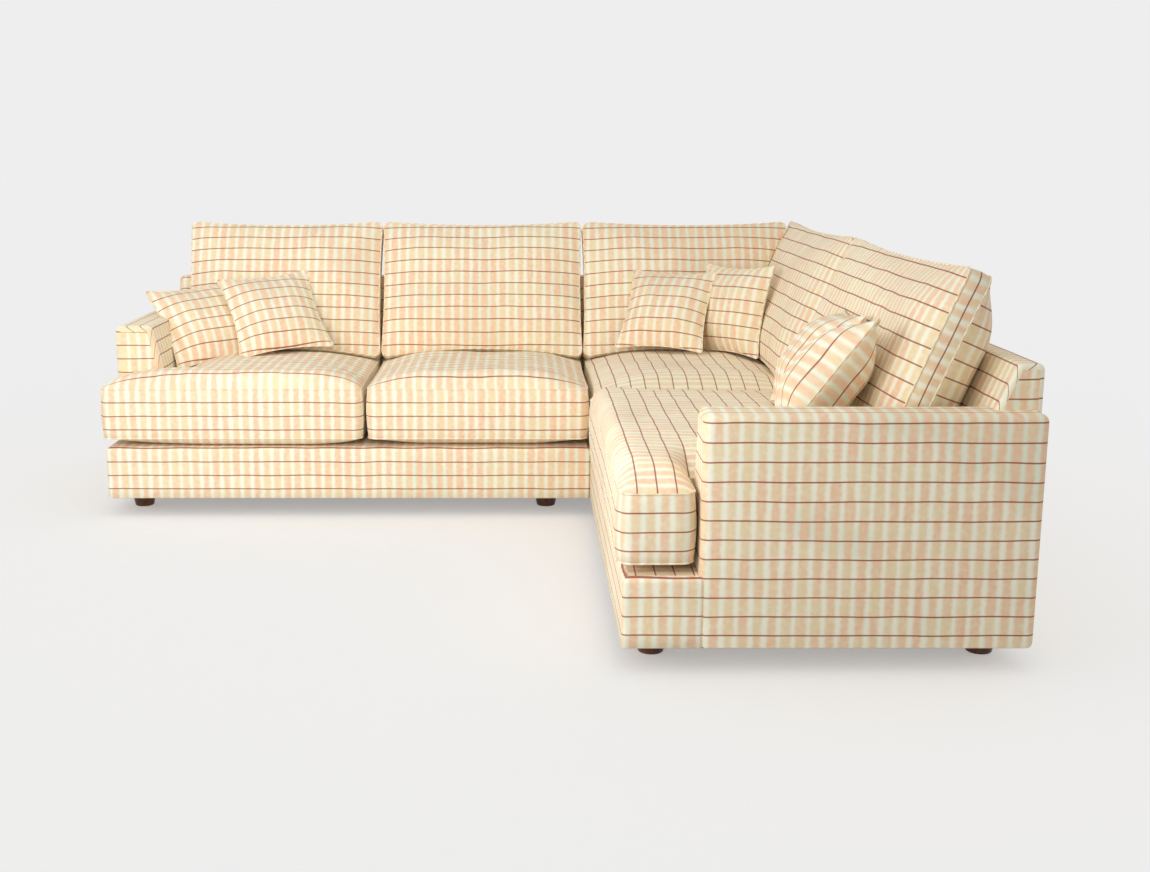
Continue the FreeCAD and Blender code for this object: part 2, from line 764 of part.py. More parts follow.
rearWeb = returnDeep - backDeckThick
sideWeb = sideLong - backDeckThick
webLow = deckTop + webPitch
straps = []
for step in range(int((backTall - webLow - padIn) / webPitch)):
    height = webLow + webPitch * step
    straps.append(strap(rearStart, Vector(0, -1, 0), 0, (clear, longBackLong - padIn), height))
    straps.append(strap(cornerStart, Vector(0, -1, 0), 0, (padIn, rearWeb), height))
    straps.append(strap(sideStart, Vector(-1, 0, 0), -90, (-sideWeb, -clear), height))
feature("back_webbing", Part.makeCompound(straps))


# Loose cushions: closed lofts through sections of side arcs and corner arcs
def ringWire(corners, insets, radius, bows, height):
    """One section: the sides moved in, each an arc that is drawn in by its bow."""
    points = offsetPolygon(corners, insets)
    count = len(points)
    starts = []
    ends = []
    middles = []
    for index, point in enumerate(points):
        before = points[index - 1] - point
        after = points[(index + 1) % count] - point
        before.normalize()
        after.normalize()
        half = math.acos(before.dot(after)) / 2
        bisector = before + after
        bisector.normalize()
        run = radius / math.tan(half)
        starts.append(point + before * run)
        ends.append(point + after * run)
        middles.append(point + bisector * (radius / math.sin(half) - radius))
    edges = []
    lift = Vector(0, 0, height)
    for index in range(count):
        follow = (index + 1) % count
        edges.append(Part.Arc(starts[index] + lift, middles[index] + lift, ends[index] + lift).toShape())
        side = starts[follow] - ends[index]
        inward = Vector(-side.y, side.x, 0)
        inward.normalize()
        crest = (starts[follow] + ends[index]) / 2 + inward * bows[index]
        edges.append(Part.Arc(ends[index] + lift, crest + lift, starts[follow] + lift).toShape())
    return Part.Wire(edges)


def crownSteps(reach, rise, steps):
    """Distances in from the seam and above it along a rounded crown, from the seam in."""
    made = []
    for step in range(1, int(steps) + 1):
        share = (step / steps) ** stepEase
        made.append((share * reach, share * (2 - share) * rise))
    return made


def boxedForm(corners, radius, bows, heights, reaches, swell, shrink):
    """Boxed cushion from its belly up; heights are belly, border and crown."""
    belly, border, crown = heights
    steps = [(-rise, share) for share, rise in reversed(crownSteps(1, belly, bellySteps))]
    steps.extend([(0, 0), (border / 2, -1), (border, 0)])
    steps.extend([(border + rise, share) for share, rise in crownSteps(1, crown, topSteps)])
    full = belly + border + crown
    wires = []
    for height, share in steps:
        level = shrink - belly + (height + belly) / full * (full - 2 * shrink)
        moved = [-swell if share < 0 else reach * share for reach in reaches]
        share = max(share, 0)
        insets = [move + shrink for move in moved]
        eased = [bow * (1 - share / 2) for bow in bows]
        turn = max(radius * (1 - share * (1 - topRound)) - shrink, minRound)
        wires.append(ringWire(corners, insets, turn, eased, level))
    return Part.makeLoft(wires, True, True)


def rectangle(low, high):
    return [
        Vector(low[0], low[1], 0),
        Vector(high[0], low[1], 0),
        Vector(high[0], high[1], 0),
        Vector(low[0], high[1], 0),
    ]


def pressed(shape, holders, depth):
    """Flatten a cushion against what holds it: each holder is a shape and the way that it pushes."""
    for other, way in holders:
        if shape.BoundBox.intersect(other.BoundBox):
            pusher = other.copy()
            pusher.translate(way * depth)
            shape = shape.cut(pusher)
    return largest(shape)


def casingAndFill(label, outer, inner):
    """Loose casing around its filling."""
    feature(label + "_casing", outer.cut(inner))
    feature(label + "_fill", inner)


seatRear = deckRear - clear
seatRight = deckRight - clear
splitX = innerFace - cushionGap * 1.5 - seatMidWide
splitY = frontFace + endSeatWide
notchX = leftArmIn + clear * 2
notchY = endArmIn + clear * 2
earRear = longFront + earDeep - cushionGap
earRight = innerFace + earDeep - cushionGap
overX = leftFace - seatOver
overInner = innerFace - seatOver
endFront = frontFace + cushionGap
swellIn = [seatBulge] * 6
seatOutlines = {
    "seat_left": [
        Vector(overX, longFront, 0),
        Vector(splitX, longFront, 0),
        Vector(splitX, seatRear, 0),
        Vector(notchX, seatRear, 0),
        Vector(notchX, earRear, 0),
        Vector(overX, earRear, 0),
    ],
    "seat_middle": rectangle((splitX + cushionGap, longFront), (innerFace - cushionGap / 2, seatRear)),
    "seat_corner": rectangle((innerFace + cushionGap / 2, splitY + cushionGap), (seatRight, seatRear)),
    "seat_end": [
        Vector(overInner, endFront, 0),
        Vector(earRight, endFront, 0),
        Vector(earRight, notchY, 0),
        Vector(seatRight, notchY, 0),
        Vector(seatRight, splitY, 0),
        Vector(overInner, splitY, 0),
    ],
}
seatReaches = {
    "seat_left": [earReach, seatReach, seatReach, seatReach, earReach, seatReach],
    "seat_middle": [earReach, seatReach, seatReach, seatReach],
    "seat_corner": [seatReach, seatReach, seatReach, seatReach],
    "seat_end": [seatReach, earReach, seatReach, seatReach, seatReach, earReach],
}
toRight = Vector(1, 0, 0)
toLeft = Vector(-1, 0, 0)
toFront = Vector(0, -1, 0)
toRear = Vector(0, 1, 0)
up = Vector(0, 0, 1)
seatHolders = {
    "seat_left": [(leftArmBlock, toRight + toFront)],
    "seat_end": [(endArmBlock, toRear + toLeft)],
}
seatHeights = (seatUnder, seatBorder, seatCrown)
seatForms = {}
for label, limits in seatOutlines.items():
    outline = offsetPolygon(limits, swellIn[: len(limits)])
    shapes = []
    for shrink in (0, casingThick):
        bows = [seatDraw] * len(outline)
        made = boxedForm(outline, seatRound, bows, seatHeights, seatReaches[label], seatBulge, shrink)
        made.translate(Vector(0, 0, seamLow))
        shapes.append(pressed(made, seatHolders.get(label, []), clear + shrink))
    seatForms[label] = shapes[0]
    casingAndFill(label, shapes[0], shapes[1])


# Back cushions lean with the frame; local x across, y up the lean, z towards the seat
def backFrame(place, turn):
    """Placement of a back cushion whose lower rear corner line is at place."""
    upright = Rotation(Vector(1, 0, 0), 90 - rakeAngle)
    return Placement(place, Rotation(Vector(0, 0, 1), turn) * upright)


backFootZ = seamTop + backFoot
backHeights = (backBelly, backBorder, backCrown)
backBows = [backArch, backDraw, backDip, backDraw]
backDepth = backTopThick + (backTall - backFootZ) * backRake
faceToSeam = (backBelly + clear) / rakeCos
rearPlace = Vector(0, rearFace - backDepth - faceToSeam, backFootZ)
sidePlace = Vector(rightFace - backDepth - faceToSeam, 0, backFootZ)
cornerTop = rightFace - cornerTopIn
sideNear = splitY + cushionGap
sideFar = rearFace - sideFarIn
cornerLeft = innerFace + cushionGap / 2


def slanted(lowLeft, lowRight, topLeft, topRight):
    return [
        Vector(lowLeft, 0, 0),
        Vector(lowRight, 0, 0),
        Vector(topRight, backCushTall, 0),
        Vector(topLeft, backCushTall, 0),
    ]


def upright(low, high):
    return slanted(low, high, low, high)


def loosePair(label, form, holders):
    """Casing and filling of a cushion, both pressed flat where its neighbours hold it."""
    outer = pressed(form(0), holders, clear)
    casingAndFill(label, outer, pressed(form(casingThick), holders, clear + casingThick))
    return outer


def backForm(outline, turn, place):
    def form(shrink):
        reaches = [backReach] * 4
        made = boxedForm(outline, backRound, backBows, backHeights, reaches, 0, shrink)
        made.Placement = backFrame(place, turn)
        return made

    return form


onLeft = (seatForms["seat_left"], up)
onMiddle = (seatForms["seat_middle"], up)
onCorner = (seatForms["seat_corner"], up)
onEnd = (seatForms["seat_end"], up)
rearRight = innerFace - cushionGap / 2
rearLeft = backForm(upright(leftFace + backArmIn, splitX), 0, rearPlace)
rearMiddle = backForm(upright(splitX + cushionGap, rearRight), 0, rearPlace)
rearCorner = backForm(slanted(cornerLeft, cornerTop - cornerLowIn, cornerLeft, cornerTop), 0, rearPlace)
sideCorner = backForm(slanted(-sideFar, -sideNear, -sideFar - sideFarLean, -sideNear), -90, sidePlace)
sideEnd = backForm(upright(-splitY, -frontFace - backArmIn), -90, sidePlace)
sideLonger = backForm(upright(-rearFace, -sideNear), -90, sidePlace)
backLeft = loosePair("back_left", rearLeft, [onLeft, (leftArmBlock, toRight)])
loosePair("back_middle", rearMiddle, [onMiddle])
backSide = loosePair("back_corner_side", sideCorner, [onCorner])
rearPush = [onCorner, (sideLonger(0), toLeft), (backSide, toLeft)]
backRear = loosePair("back_corner_rear", rearCorner, rearPush)
backEnd = loosePair("back_end", sideEnd, [onEnd, (endArmBlock, toRear)])


# Scatter cushions: knife-edge squares that lean on the back cushions
def scatterForm(place, turn, roll, lean, wide):
    """Place is the middle; turn is about the upright, roll to a side and lean to the back."""
    def form(shrink):
        half = wide / 2
        outline = rectangle((-half, -half), (half, half))
        heights = (scatterHalf, scatterSeam, scatterHalf)
        bows = [scatterDraw] * 4
        made = boxedForm(outline, scatterRound, bows, heights, [scatterReach] * 4, 0, shrink)
        tilt = Rotation(Vector(0, 0, 1), turn) * Rotation(Vector(0, 1, 0), roll)
        made.Placement = Placement(place, tilt * Rotation(Vector(1, 0, 0), 90 - lean))
        return made

    return form


armScatter = scatterForm(Vector(leftFace + 251, rearFace - 480, 601), 36, -4, 42, scatterWide)
leftScatter = scatterForm(Vector(leftFace + 503, rearFace - 448, 637), 26, -4, 41, scatterWide)
sideScatter = scatterForm(Vector(rightFace - 448, rearFace - 490, 655), -52, -2, 15, scatterSmall)
cornerScatter = scatterForm(Vector(rightFace - 686, rearFace - 426, 646), -24, 0, 35, scatterSmall)
farScatter = scatterForm(Vector(rightFace - 401, frontFace + 720, 655), -90, -4, 38, scatterSmall)
nearScatter = scatterForm(Vector(rightFace - 456, frontFace + 361, 660), -90, -12, 38, scatterWide)
byLeftBack = (backLeft, toFront)
byRearBack = (backRear, toFront)
bySideBack = (backSide, toLeft)
byEndBack = (backEnd, toLeft)
armPush = [onLeft, (leftArmBlock, toRight + up), byLeftBack]
scatterArm = loosePair("scatter_arm", armScatter, armPush)
leftPush = [onLeft, byLeftBack, (scatterArm, toRight + toFront + up)]
loosePair("scatter_left", leftScatter, leftPush)
scatterSide = loosePair("scatter_side", sideScatter, [onCorner, bySideBack, byRearBack])
cornerPush = [onCorner, byRearBack, (scatterSide, toLeft + toFront + up)]
loosePair("scatter_corner", cornerScatter, cornerPush)
scatterFar = loosePair("scatter_far", farScatter, [onEnd, byEndBack])
nearPush = [onEnd, byEndBack, (endArmBlock, toRear), (scatterFar, toLeft + up)]
loosePair("scatter_near", nearScatter, nearPush)

doc.recompute()
for target in doc.Objects:
    if "Invalid" in target.State or "Error" in target.State:
        raise RuntimeError(target.Label + " did not recompute")
for target in subparts:
    if target.Shape.isNull() or not target.Shape.isValid():
        raise RuntimeError(target.Label + " has no valid shape")

os.makedirs("parts", exist_ok=True)
for target in subparts:
    target.Shape.exportStep("parts/" + target.Label + ".step")
    print(target.Label, len(target.Shape.Solids), round(target.Shape.Volume / 1e6, 3))
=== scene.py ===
import json
import math

import bmesh
import bpy
from mathutils import Matrix, Vector, noise
from mathutils.bvhtree import BVHTree


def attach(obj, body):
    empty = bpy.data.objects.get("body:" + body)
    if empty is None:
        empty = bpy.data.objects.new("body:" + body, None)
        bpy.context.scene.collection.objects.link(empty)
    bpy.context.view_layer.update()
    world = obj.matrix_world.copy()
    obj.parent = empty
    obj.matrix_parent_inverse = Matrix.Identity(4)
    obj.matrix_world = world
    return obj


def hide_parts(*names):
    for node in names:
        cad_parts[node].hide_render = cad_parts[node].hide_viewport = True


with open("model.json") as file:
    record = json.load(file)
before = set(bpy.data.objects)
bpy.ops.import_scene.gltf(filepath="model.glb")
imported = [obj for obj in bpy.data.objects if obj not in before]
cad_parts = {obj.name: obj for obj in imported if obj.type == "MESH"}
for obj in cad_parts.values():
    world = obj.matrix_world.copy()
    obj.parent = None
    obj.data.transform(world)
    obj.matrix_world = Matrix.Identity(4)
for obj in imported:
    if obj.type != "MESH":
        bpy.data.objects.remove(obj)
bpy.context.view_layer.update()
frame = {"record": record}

# Sizes of the sofa in metres: x to the right, y to the rear, z up
sofa = {
    "left": -1.3245,
    "inner": 0.3435,
    "right": 1.3435,
    "front": -1.246,
    "longFront": 0.246,
    "rear": 1.246,
    "footTop": 0.06,
    "deck": 0.24,
    "armTop": 0.634,
    "backTop": 0.746,
    "armTopWide": 0.128,
    "armLowWide": 0.17,
    "flare": 0.457,
    "earDeep": 0.186,
    "backTopThick": 0.065,
    "rake": 0.42,
    "backEndIn": 0.06,
    "deep": 1.0,
    "air": 0.0012,  # between a cushion and what holds it
}
backDeckThick = sofa["backTopThick"] + (sofa["backTop"] - sofa["deck"]) * sofa["rake"]
deckRear = sofa["rear"] - backDeckThick
deckRight = sofa["right"] - backDeckThick
leftArmIn = sofa["left"] + sofa["armLowWide"]
endArmIn = sofa["front"] + sofa["armLowWide"]
earRear = sofa["longFront"] + sofa["earDeep"]
earRight = sofa["inner"] + sofa["earDeep"]


# Colours are sRGB hex values, turned to linear here
def hexColour(text):
    channels = [int(text[start:start + 2], 16) / 255 for start in (1, 3, 5)]
    linear = [c / 12.92 if c <= 0.04045 else ((c + 0.055) / 1.055) ** 2.4 for c in channels]
    return (*linear, 1)


# Adds one node; inputs are numbers, colours, sockets, or nodes whose first output in use is meant
def addNode(tree, kind, settings, inputs):
    node = tree.nodes.new("ShaderNode" + kind)
    for key, value in settings.items():
        setattr(node, key, value)
    for key, value in inputs.items():
        if isinstance(value, bpy.types.Node):
            value = next(socket for socket in value.outputs if socket.enabled)
        if isinstance(value, bpy.types.NodeSocket):
            tree.links.new(value, node.inputs[key])
        else:
            node.inputs[key].default_value = value
    return node


def newMaterial(name, roughness, specular=0.5, metallic=0.0):
    material = bpy.data.materials.new(name)
    material.use_nodes = True
    shader = material.node_tree.nodes["Principled BSDF"]
    shader.inputs["Roughness"].default_value = roughness
    shader.inputs["Specular IOR Level"].default_value = specular
    shader.inputs["Metallic"].default_value = metallic
    return material, material.node_tree, shader


# Woven cotton, printed with a check: washed blotches in columns and thin brown lines across them.
# A matt cloth with a faint sheen; distances in metres come from the UV map named cloth.
check = {
    "linePitch": 0.0475,
    "lineHalf": 0.0018,
    "lineSoft": 0.0008,
    "lineStrength": 0.9,
    "lineWander": 0.006,
    "columnPitch": 0.035,
    "blotchEnd": 0.01,
    "gapStart": 0.021,
    "fray": 0.005,  # how far a blotch's edge runs in and out
    "uneven": 0.004,  # how much one blotch is wider than the next
    "cream": "#FDF9E3",
    "peach": "#F6CFA9",
    "sand": "#F4DFB4",
    "green": "#EBF0D8",
    "line": "#98483A",
    "tintChance": 0.5,  # of one blotch, beside the slow drift
    "peachFrom": (0.5, 0.92),  # of the tint: below it all sand, above it all peach
    "greenFrom": (0.5, 0.68),
    "greenShare": 0.8,
    "washFrom": (0.35, 0.75),
    "washShare": 0.3,
    "bends": 6.0,  # per metre: lines wander over about 170 mm
    "patches": 3.1,  # colour drifts over about 320 mm
    "washes": 70.0,  # mottling of about 14 mm
    "slubs": 420.0,  # thick places in the thread, 2.4 mm
    "roughness": 0.86,
    "specular": 0.25,
    "sheen": 0.12,
    "threadPitch": 0.0016,  # twice the real thread, so that it shows
    "threadShare": 0.35,  # of the relief, beside the slubs
    "relief": 0.0005,
    "reliefStrength": 0.3,
}


def clothMaterial(name, withLines):
    material, tree, shader = newMaterial(name, check["roughness"], check["specular"])
    shader.inputs["Sheen Weight"].default_value = check["sheen"]
    flat = {"noise_dimensions": "2D"}
    soft = {"interpolation_type": "SMOOTHSTEP"}
    mix = {"data_type": "RGBA"}
    cream, peach, sand, green, brown = (
        hexColour(check[name]) for name in ("cream", "peach", "sand", "green", "line"))
    cloth = addNode(tree, "UVMap", {"uv_map": "cloth"}, {})
    parts = addNode(tree, "SeparateXYZ", {}, {0: cloth})
    across = parts.outputs[0]
    slow = addNode(tree, "TexNoise", flat,
                   {"Vector": cloth, "Scale": check["bends"], "Detail": 1.0})
    patch = addNode(tree, "TexNoise", flat,
                    {"Vector": cloth, "Scale": check["patches"], "Detail": 2.0})
    wash = addNode(tree, "TexNoise", flat,
                   {"Vector": cloth, "Scale": check["washes"], "Detail": 3.0})

    # Where each point is in its row and column, and the chance values of its cell
    bent = addNode(tree, "Math", {"operation": "MULTIPLY_ADD"},
                   {0: slow, 1: check["lineWander"], 2: parts.outputs[1]})
    fromLine = addNode(tree, "Math", {"operation": "PINGPONG"},
                       {0: bent, 1: check["linePitch"] / 2})
    fromColumn = addNode(tree, "Math", {"operation": "PINGPONG"},
                         {0: across, 1: check["columnPitch"] / 2})
    column = addNode(tree, "Math", {"operation": "DIVIDE"}, {0: across, 1: check["columnPitch"]})
    row = addNode(tree, "Math", {"operation": "DIVIDE"}, {0: bent, 1: check["linePitch"]})
    cell = addNode(tree, "CombineXYZ", {}, {
        0: addNode(tree, "Math", {"operation": "ROUND"}, {0: column}),
        1: addNode(tree, "Math", {"operation": "FLOOR"}, {0: row}),
    })
    chance = addNode(tree, "TexWhiteNoise", flat, {"Vector": cell})
    draw = addNode(tree, "SeparateColor", {}, {0: chance.outputs[1]})

    # Blotches from sand to peach, with pale gaps between and mottling over both
    frayed = addNode(tree, "Math", {"operation": "MULTIPLY_ADD"},
                     {0: wash, 1: check["fray"], 2: fromColumn})
    edge = addNode(tree, "Math", {"operation": "MULTIPLY_ADD"},
                   {0: draw.outputs[0], 1: check["uneven"], 2: frayed})
    gap = addNode(tree, "MapRange", soft,
                  {0: edge, 1: check["blotchEnd"], 2: check["gapStart"]})
    tint = addNode(tree, "Math", {"operation": "MULTIPLY_ADD"},
                   {0: draw.outputs[1], 1: check["tintChance"], 2: patch})
    peachy = addNode(tree, "MapRange", soft,
                     {0: tint, 1: check["peachFrom"][0], 2: check["peachFrom"][1]})
    blotch = addNode(tree, "Mix", mix, {0: peachy, 6: sand, 7: peach})
    greens = addNode(tree, "MapRange", soft, {
        0: patch, 1: check["greenFrom"][0], 2: check["greenFrom"][1], 4: check["greenShare"],
    })
    pale = addNode(tree, "Mix", mix, {0: greens, 6: cream, 7: green})
    ground = addNode(tree, "Mix", mix, {0: gap, 6: blotch, 7: pale})
    mottle = addNode(tree, "MapRange", soft, {
        0: wash, 1: check["washFrom"][0], 2: check["washFrom"][1], 4: check["washShare"],
    })
    ground = addNode(tree, "Mix", mix, {0: mottle, 6: ground, 7: pale})
    if withLines:
        line = addNode(tree, "MapRange", soft, {
            0: fromLine,
            1: check["lineHalf"] - check["lineSoft"],
            2: check["lineHalf"] + check["lineSoft"],
            3: check["lineStrength"],
            4: 0.0,
        })
        ground = addNode(tree, "Mix", mix, {0: line, 6: ground, 7: brown})
    tree.links.new(ground.outputs[2], shader.inputs["Base Color"])

    # Relief of the threads and slubs
    threads = addNode(tree, "VectorMath", {"operation": "SCALE"},
                      {0: cloth, 3: 1 / check["threadPitch"]})
    weave = addNode(tree, "TexChecker", {}, {"Vector": threads, "Scale": 1.0})
    slub = addNode(tree, "TexNoise", flat,
                   {"Vector": cloth, "Scale": check["slubs"], "Detail": 2.0})
    relief = addNode(tree, "Math", {"operation": "MULTIPLY_ADD"},
                     {0: weave.outputs[1], 1: check["threadShare"], 2: slub})
    bump = addNode(tree, "Bump", {}, {
        "Strength": check["reliefStrength"], "Distance": check["relief"], "Height": relief,
    })
    tree.links.new(bump.outputs[0], shader.inputs["Normal"])
    return material


printedCotton = clothMaterial("woven cotton, printed check", True)
seamCotton = clothMaterial("woven cotton, folded seam", False)
print("cloth made")


# A piece from lists, with its cloth map in metres and its outside facing out.
# Faces from the number seamFrom on take the second skin.
def newPiece(name, verts, faces, uvs, body, nodes, seamFrom=None,
             skins=(printedCotton, seamCotton)):
    mesh = bpy.data.meshes.new(name)
    mesh.from_pydata([tuple(v) for v in verts], [], faces)
    layer = mesh.uv_layers.new(name="cloth")
    layer.data.foreach_set("uv", [n for corners in uvs for pair in corners for n in pair])
    for skin in skins:
        mesh.materials.append(skin)
    for polygon in mesh.polygons:
        polygon.use_smooth = len(polygon.vertices) < 5
        if seamFrom is not None and polygon.index >= seamFrom:
            polygon.material_index = 1
    shell = bmesh.new()
    shell.from_mesh(mesh)
    bmesh.ops.recalc_face_normals(shell, faces=shell.faces)
    shell.to_mesh(mesh)
    shell.free()
    piece = bpy.data.objects.new(name, mesh)
    bpy.context.scene.collection.objects.link(piece)
    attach(piece, body)
    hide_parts(*nodes)
    return piece


# Steps in a rounded edge's quarter turn
edgeSteps = 5


# Outline with its corners rounded
def roundedOutline(points, radii, steps=edgeSteps):
    outline = []
    count = len(points)
    for index, point in enumerate(points):
        radius = radii[index]
        before = (points[index - 1] - point).normalized()
        after = (points[(index + 1) % count] - point).normalized()
        half = math.acos(max(-1, min(1, before.dot(after)))) / 2
        run = radius / math.tan(half)
        centre = point + (before + after).normalized() * (radius / math.sin(half))
        start = point + before * run - centre
        end = point + after * run - centre
        turn = math.atan2(start.x * end.y - start.y * end.x, start.dot(end))
        for step in range(steps + 1):
            angle = turn * step / steps
            outline.append(centre + Vector((
                start.x * math.cos(angle) - start.y * math.sin(angle),
                start.x * math.sin(angle) + start.y * math.cos(angle),
            )))
    return outline


# Outline moved inwards; its points run anticlockwise
def insetPoints(points, inset):
    moved = []
    for index, point in enumerate(points):
        before = (point - points[index - 1]).normalized()
        after = (points[(index + 1) % len(points)] - point).normalized()
        first = Vector((-before.y, before.x))
        second = Vector((-after.y, after.x))
        moved.append(point + (first + second) * (inset / (1 + first.dot(second))))
    return moved


# Stations along a tight cover, with how far its section is drawn in there: rounded at both ends
def endSteps(start, end, radius, pitch):
    placed = []
    for step in range(edgeSteps + 1):
        angle = math.pi / 2 * step / edgeSteps
        placed.append((start + radius * (1 - math.cos(angle)), radius * (1 - math.sin(angle))))
    plain = end - start - 2 * radius
    count = max(1, round(plain / pitch))
    for step in range(1, count):
        placed.append((start + radius + plain * step / count, 0.0))
    mirrored = [(start + end - place, inset) for place, inset in reversed(placed[:edgeSteps + 1])]
    return placed + mirrored


# Skin over rings of points; v is the height on the outer face, then goes on over the top
def ringPiece(name, rings, lengths, capUv, nodes, lineStart):
    count = len(rings[0])
    heights = []
    for ring in rings:
        runs = [ring[0].z]
        for index in range(count - 1):
            runs.append(runs[-1] + (ring[index + 1] - ring[index]).length)
        heights.append(runs)
    verts = [point for ring in rings for point in ring]
    faces = []
    uvs = []
    for j in range(len(rings) - 1):
        for i in range(count):
            k = (i + 1) % count
            low, high = j * count, (j + 1) * count
            faces.append((low + i, high + i, high + k, low + k))
            corners = []
            for ring, first in ((j, True), (j + 1, True), (j + 1, False), (j, False)):
                v = heights[ring][i if first else k] if k else rings[ring][i if first else 0].z
                corners.append((lengths[ring], v - lineStart))
            uvs.append(corners)
    last = (len(rings) - 1) * count
    faces.append(tuple(reversed(range(count))))
    uvs.append([capUv(point, lineStart) for point in reversed(rings[0])])
    faces.append(tuple(last + i for i in range(count)))
    uvs.append([capUv(point, lineStart) for point in rings[-1]])
    return newPiece(name, verts, faces, uvs, "frame", nodes)


# Section of a tight cover, drawn in by the inset
def sectionRing(points, radii, inset, leastRound=0.0008):
    smaller = [max(radius - inset, leastRound) for radius in radii]
    return list(reversed(roundedOutline(insetPoints(points, inset), smaller)))


# Arms: flared inner face, flat top, all edges softly rounded
arms = {
    "round": 0.02,
    "flareRound": 0.03,
    "footRound": 0.003,
    "pitch": 0.08,
    "firstLine": 0.0957,
    "offBack": 0.0015,
}
armPoints = [
    Vector((0, sofa["footTop"])),
    Vector((sofa["armLowWide"], sofa["footTop"])),
    Vector((sofa["armLowWide"], sofa["flare"])),
    Vector((sofa["armTopWide"], sofa["armTop"])),
    Vector((0, sofa["armTop"])),
]
armRadii = [arms[key] for key in ("footRound", "footRound", "flareRound", "round", "round")]
armLong = sofa["deep"] - sofa["earDeep"] - arms["offBack"]
for name, nodes, place, capAcross in (
    ("leftArm", ("left_arm_cover", "left_arm_padding"),
     lambda a, t, z: Vector((sofa["left"] + a, earRear + t, z)), 0),
    ("endArm", ("end_arm_cover", "end_arm_padding"),
     lambda a, t, z: Vector((earRight + t, sofa["front"] + a, z)), 1),
):
    stations = endSteps(0, armLong, arms["round"], arms["pitch"])
    rings = [[place(p.x, t, p.y) for p in sectionRing(armPoints, armRadii, inset)]
             for t, inset in stations]
    ringPiece(name, rings, [t for t, inset in stations],
              lambda p, start, k=capAcross: (p[k], p.z - start),
              nodes, arms["firstLine"])
print("arms made")


# Backs: raked towards the seat, closed over the arms at their ends
backs = {
    "round": 0.018,
    "jointRound": 0.006,
    "endRound": 0.014,
    "footRound": 0.003,
    "overArm": 0.012,
    "intoArm": 0.006,
    "knee": 0.04,  # least height of the section's lower part
    "step": 0.0002,  # between the section over the arm and the one down to the feet
    "pitch": 0.1,
    "turnStart": 0.1,
    "turnSteps": 6,
}


def backDepth(z):
    return sofa["backTopThick"] + (sofa["backTop"] - max(z, sofa["deck"])) * sofa["rake"]


def backRing(low, inset):
    knee = max(sofa["deck"], low + backs["knee"])
    points = [
        Vector((0, low)),
        Vector((backDepth(low), low)),
        Vector((backDepth(knee), knee)),
        Vector((sofa["backTopThick"], sofa["backTop"])),
        Vector((0, sofa["backTop"])),
    ]
    radii = [backs[key] for key in ("jointRound", "footRound", "footRound", "round", "round")]
    return sectionRing(points, radii, inset)


# Stations of a back: over the arm its section starts high up, past it at the feet
def backStations(start, arm, end, endRound):
    over = sofa["armTop"] - backs["overArm"]
    ear = endSteps(start, arm, backs["endRound"], backs["pitch"])
    rest = endSteps(arm, end, endRound, backs["pitch"])
    return [
        *((t, over, inset) for t, inset in ear if t < arm - backs["endRound"]),
        (arm, over, 0.0),
        (arm + backs["step"], sofa["footTop"], 0.0),
        *((t, sofa["footTop"], inset) for t, inset in rest if t > arm + endRound),
    ]


stations = backStations(
    sofa["left"] + sofa["backEndIn"], sofa["left"] + sofa["armTopWide"] - backs["intoArm"],
    sofa["inner"], backs["jointRound"],
)
rings = [[Vector((t, sofa["rear"] - p.x, p.y)) for p in backRing(low, inset)]
         for t, low, inset in stations]
ringPiece("longBack", rings, [t for t, low, inset in stations],
          lambda p, start: (p.y, p.z - start),
          ("long_back_cover", "long_back_padding"), arms["firstLine"])

# The return's back turns the corner in one cover, with a rounded upright edge
rings = []
lengths = []
farEnd = edgeSteps + 1  # stations of the rounded end that the corner takes the place of
for t, inset in endSteps(sofa["inner"], sofa["right"] - backs["turnStart"],
                         backs["jointRound"], backs["pitch"])[:-farEnd]:
    rings.append([Vector((t, sofa["rear"] - p.x, p.y)) for p in backRing(sofa["footTop"], inset)])
    lengths.append(t)
for step in range(backs["turnSteps"] + 1):
    angle = math.pi / 2 * step / backs["turnSteps"]
    ring = []
    for p in backRing(sofa["footTop"], 0):
        reach = max(backs["round"] - p.x, 0)
        corner = max(p.x, backs["round"])
        ring.append(Vector((
            sofa["right"] - corner + reach * math.sin(angle),
            sofa["rear"] - corner + reach * math.cos(angle),
            p.y,
        )))
    rings.append(ring)
    lengths.append(sofa["right"] - backs["round"] + backs["round"] * angle)
turned = lengths[-1] - backs["round"]
stations = backStations(
    sofa["front"] + sofa["backEndIn"], sofa["front"] + sofa["armTopWide"] - backs["intoArm"],
    sofa["rear"] - backs["turnStart"], backs["endRound"],
)[:-farEnd]
for t, low, inset in reversed(stations):
    rings.append([Vector((sofa["right"] - p.x, t, p.y)) for p in backRing(low, inset)])
    lengths.append(turned + sofa["rear"] - t)
ringPiece("returnBack", rings, lengths, lambda p, start: (p.x, p.z - start),
          ("return_back_cover", "return_back_padding"), arms["firstLine"])
print("backs made")


# Plinths: walls rounded into the deck, which the seat cushions cover
plinths = {
    "round": 0.016,
    "corner": 0.012,
    "leastCorner": 0.001,
    "hem": 0.0015,
    "into": 0.05,
    "underArm": 0.02,
    "underEar": 0.012,
    "rows": (0.1, 0.15, 0.2),
    "firstLine": 0.0968,
}


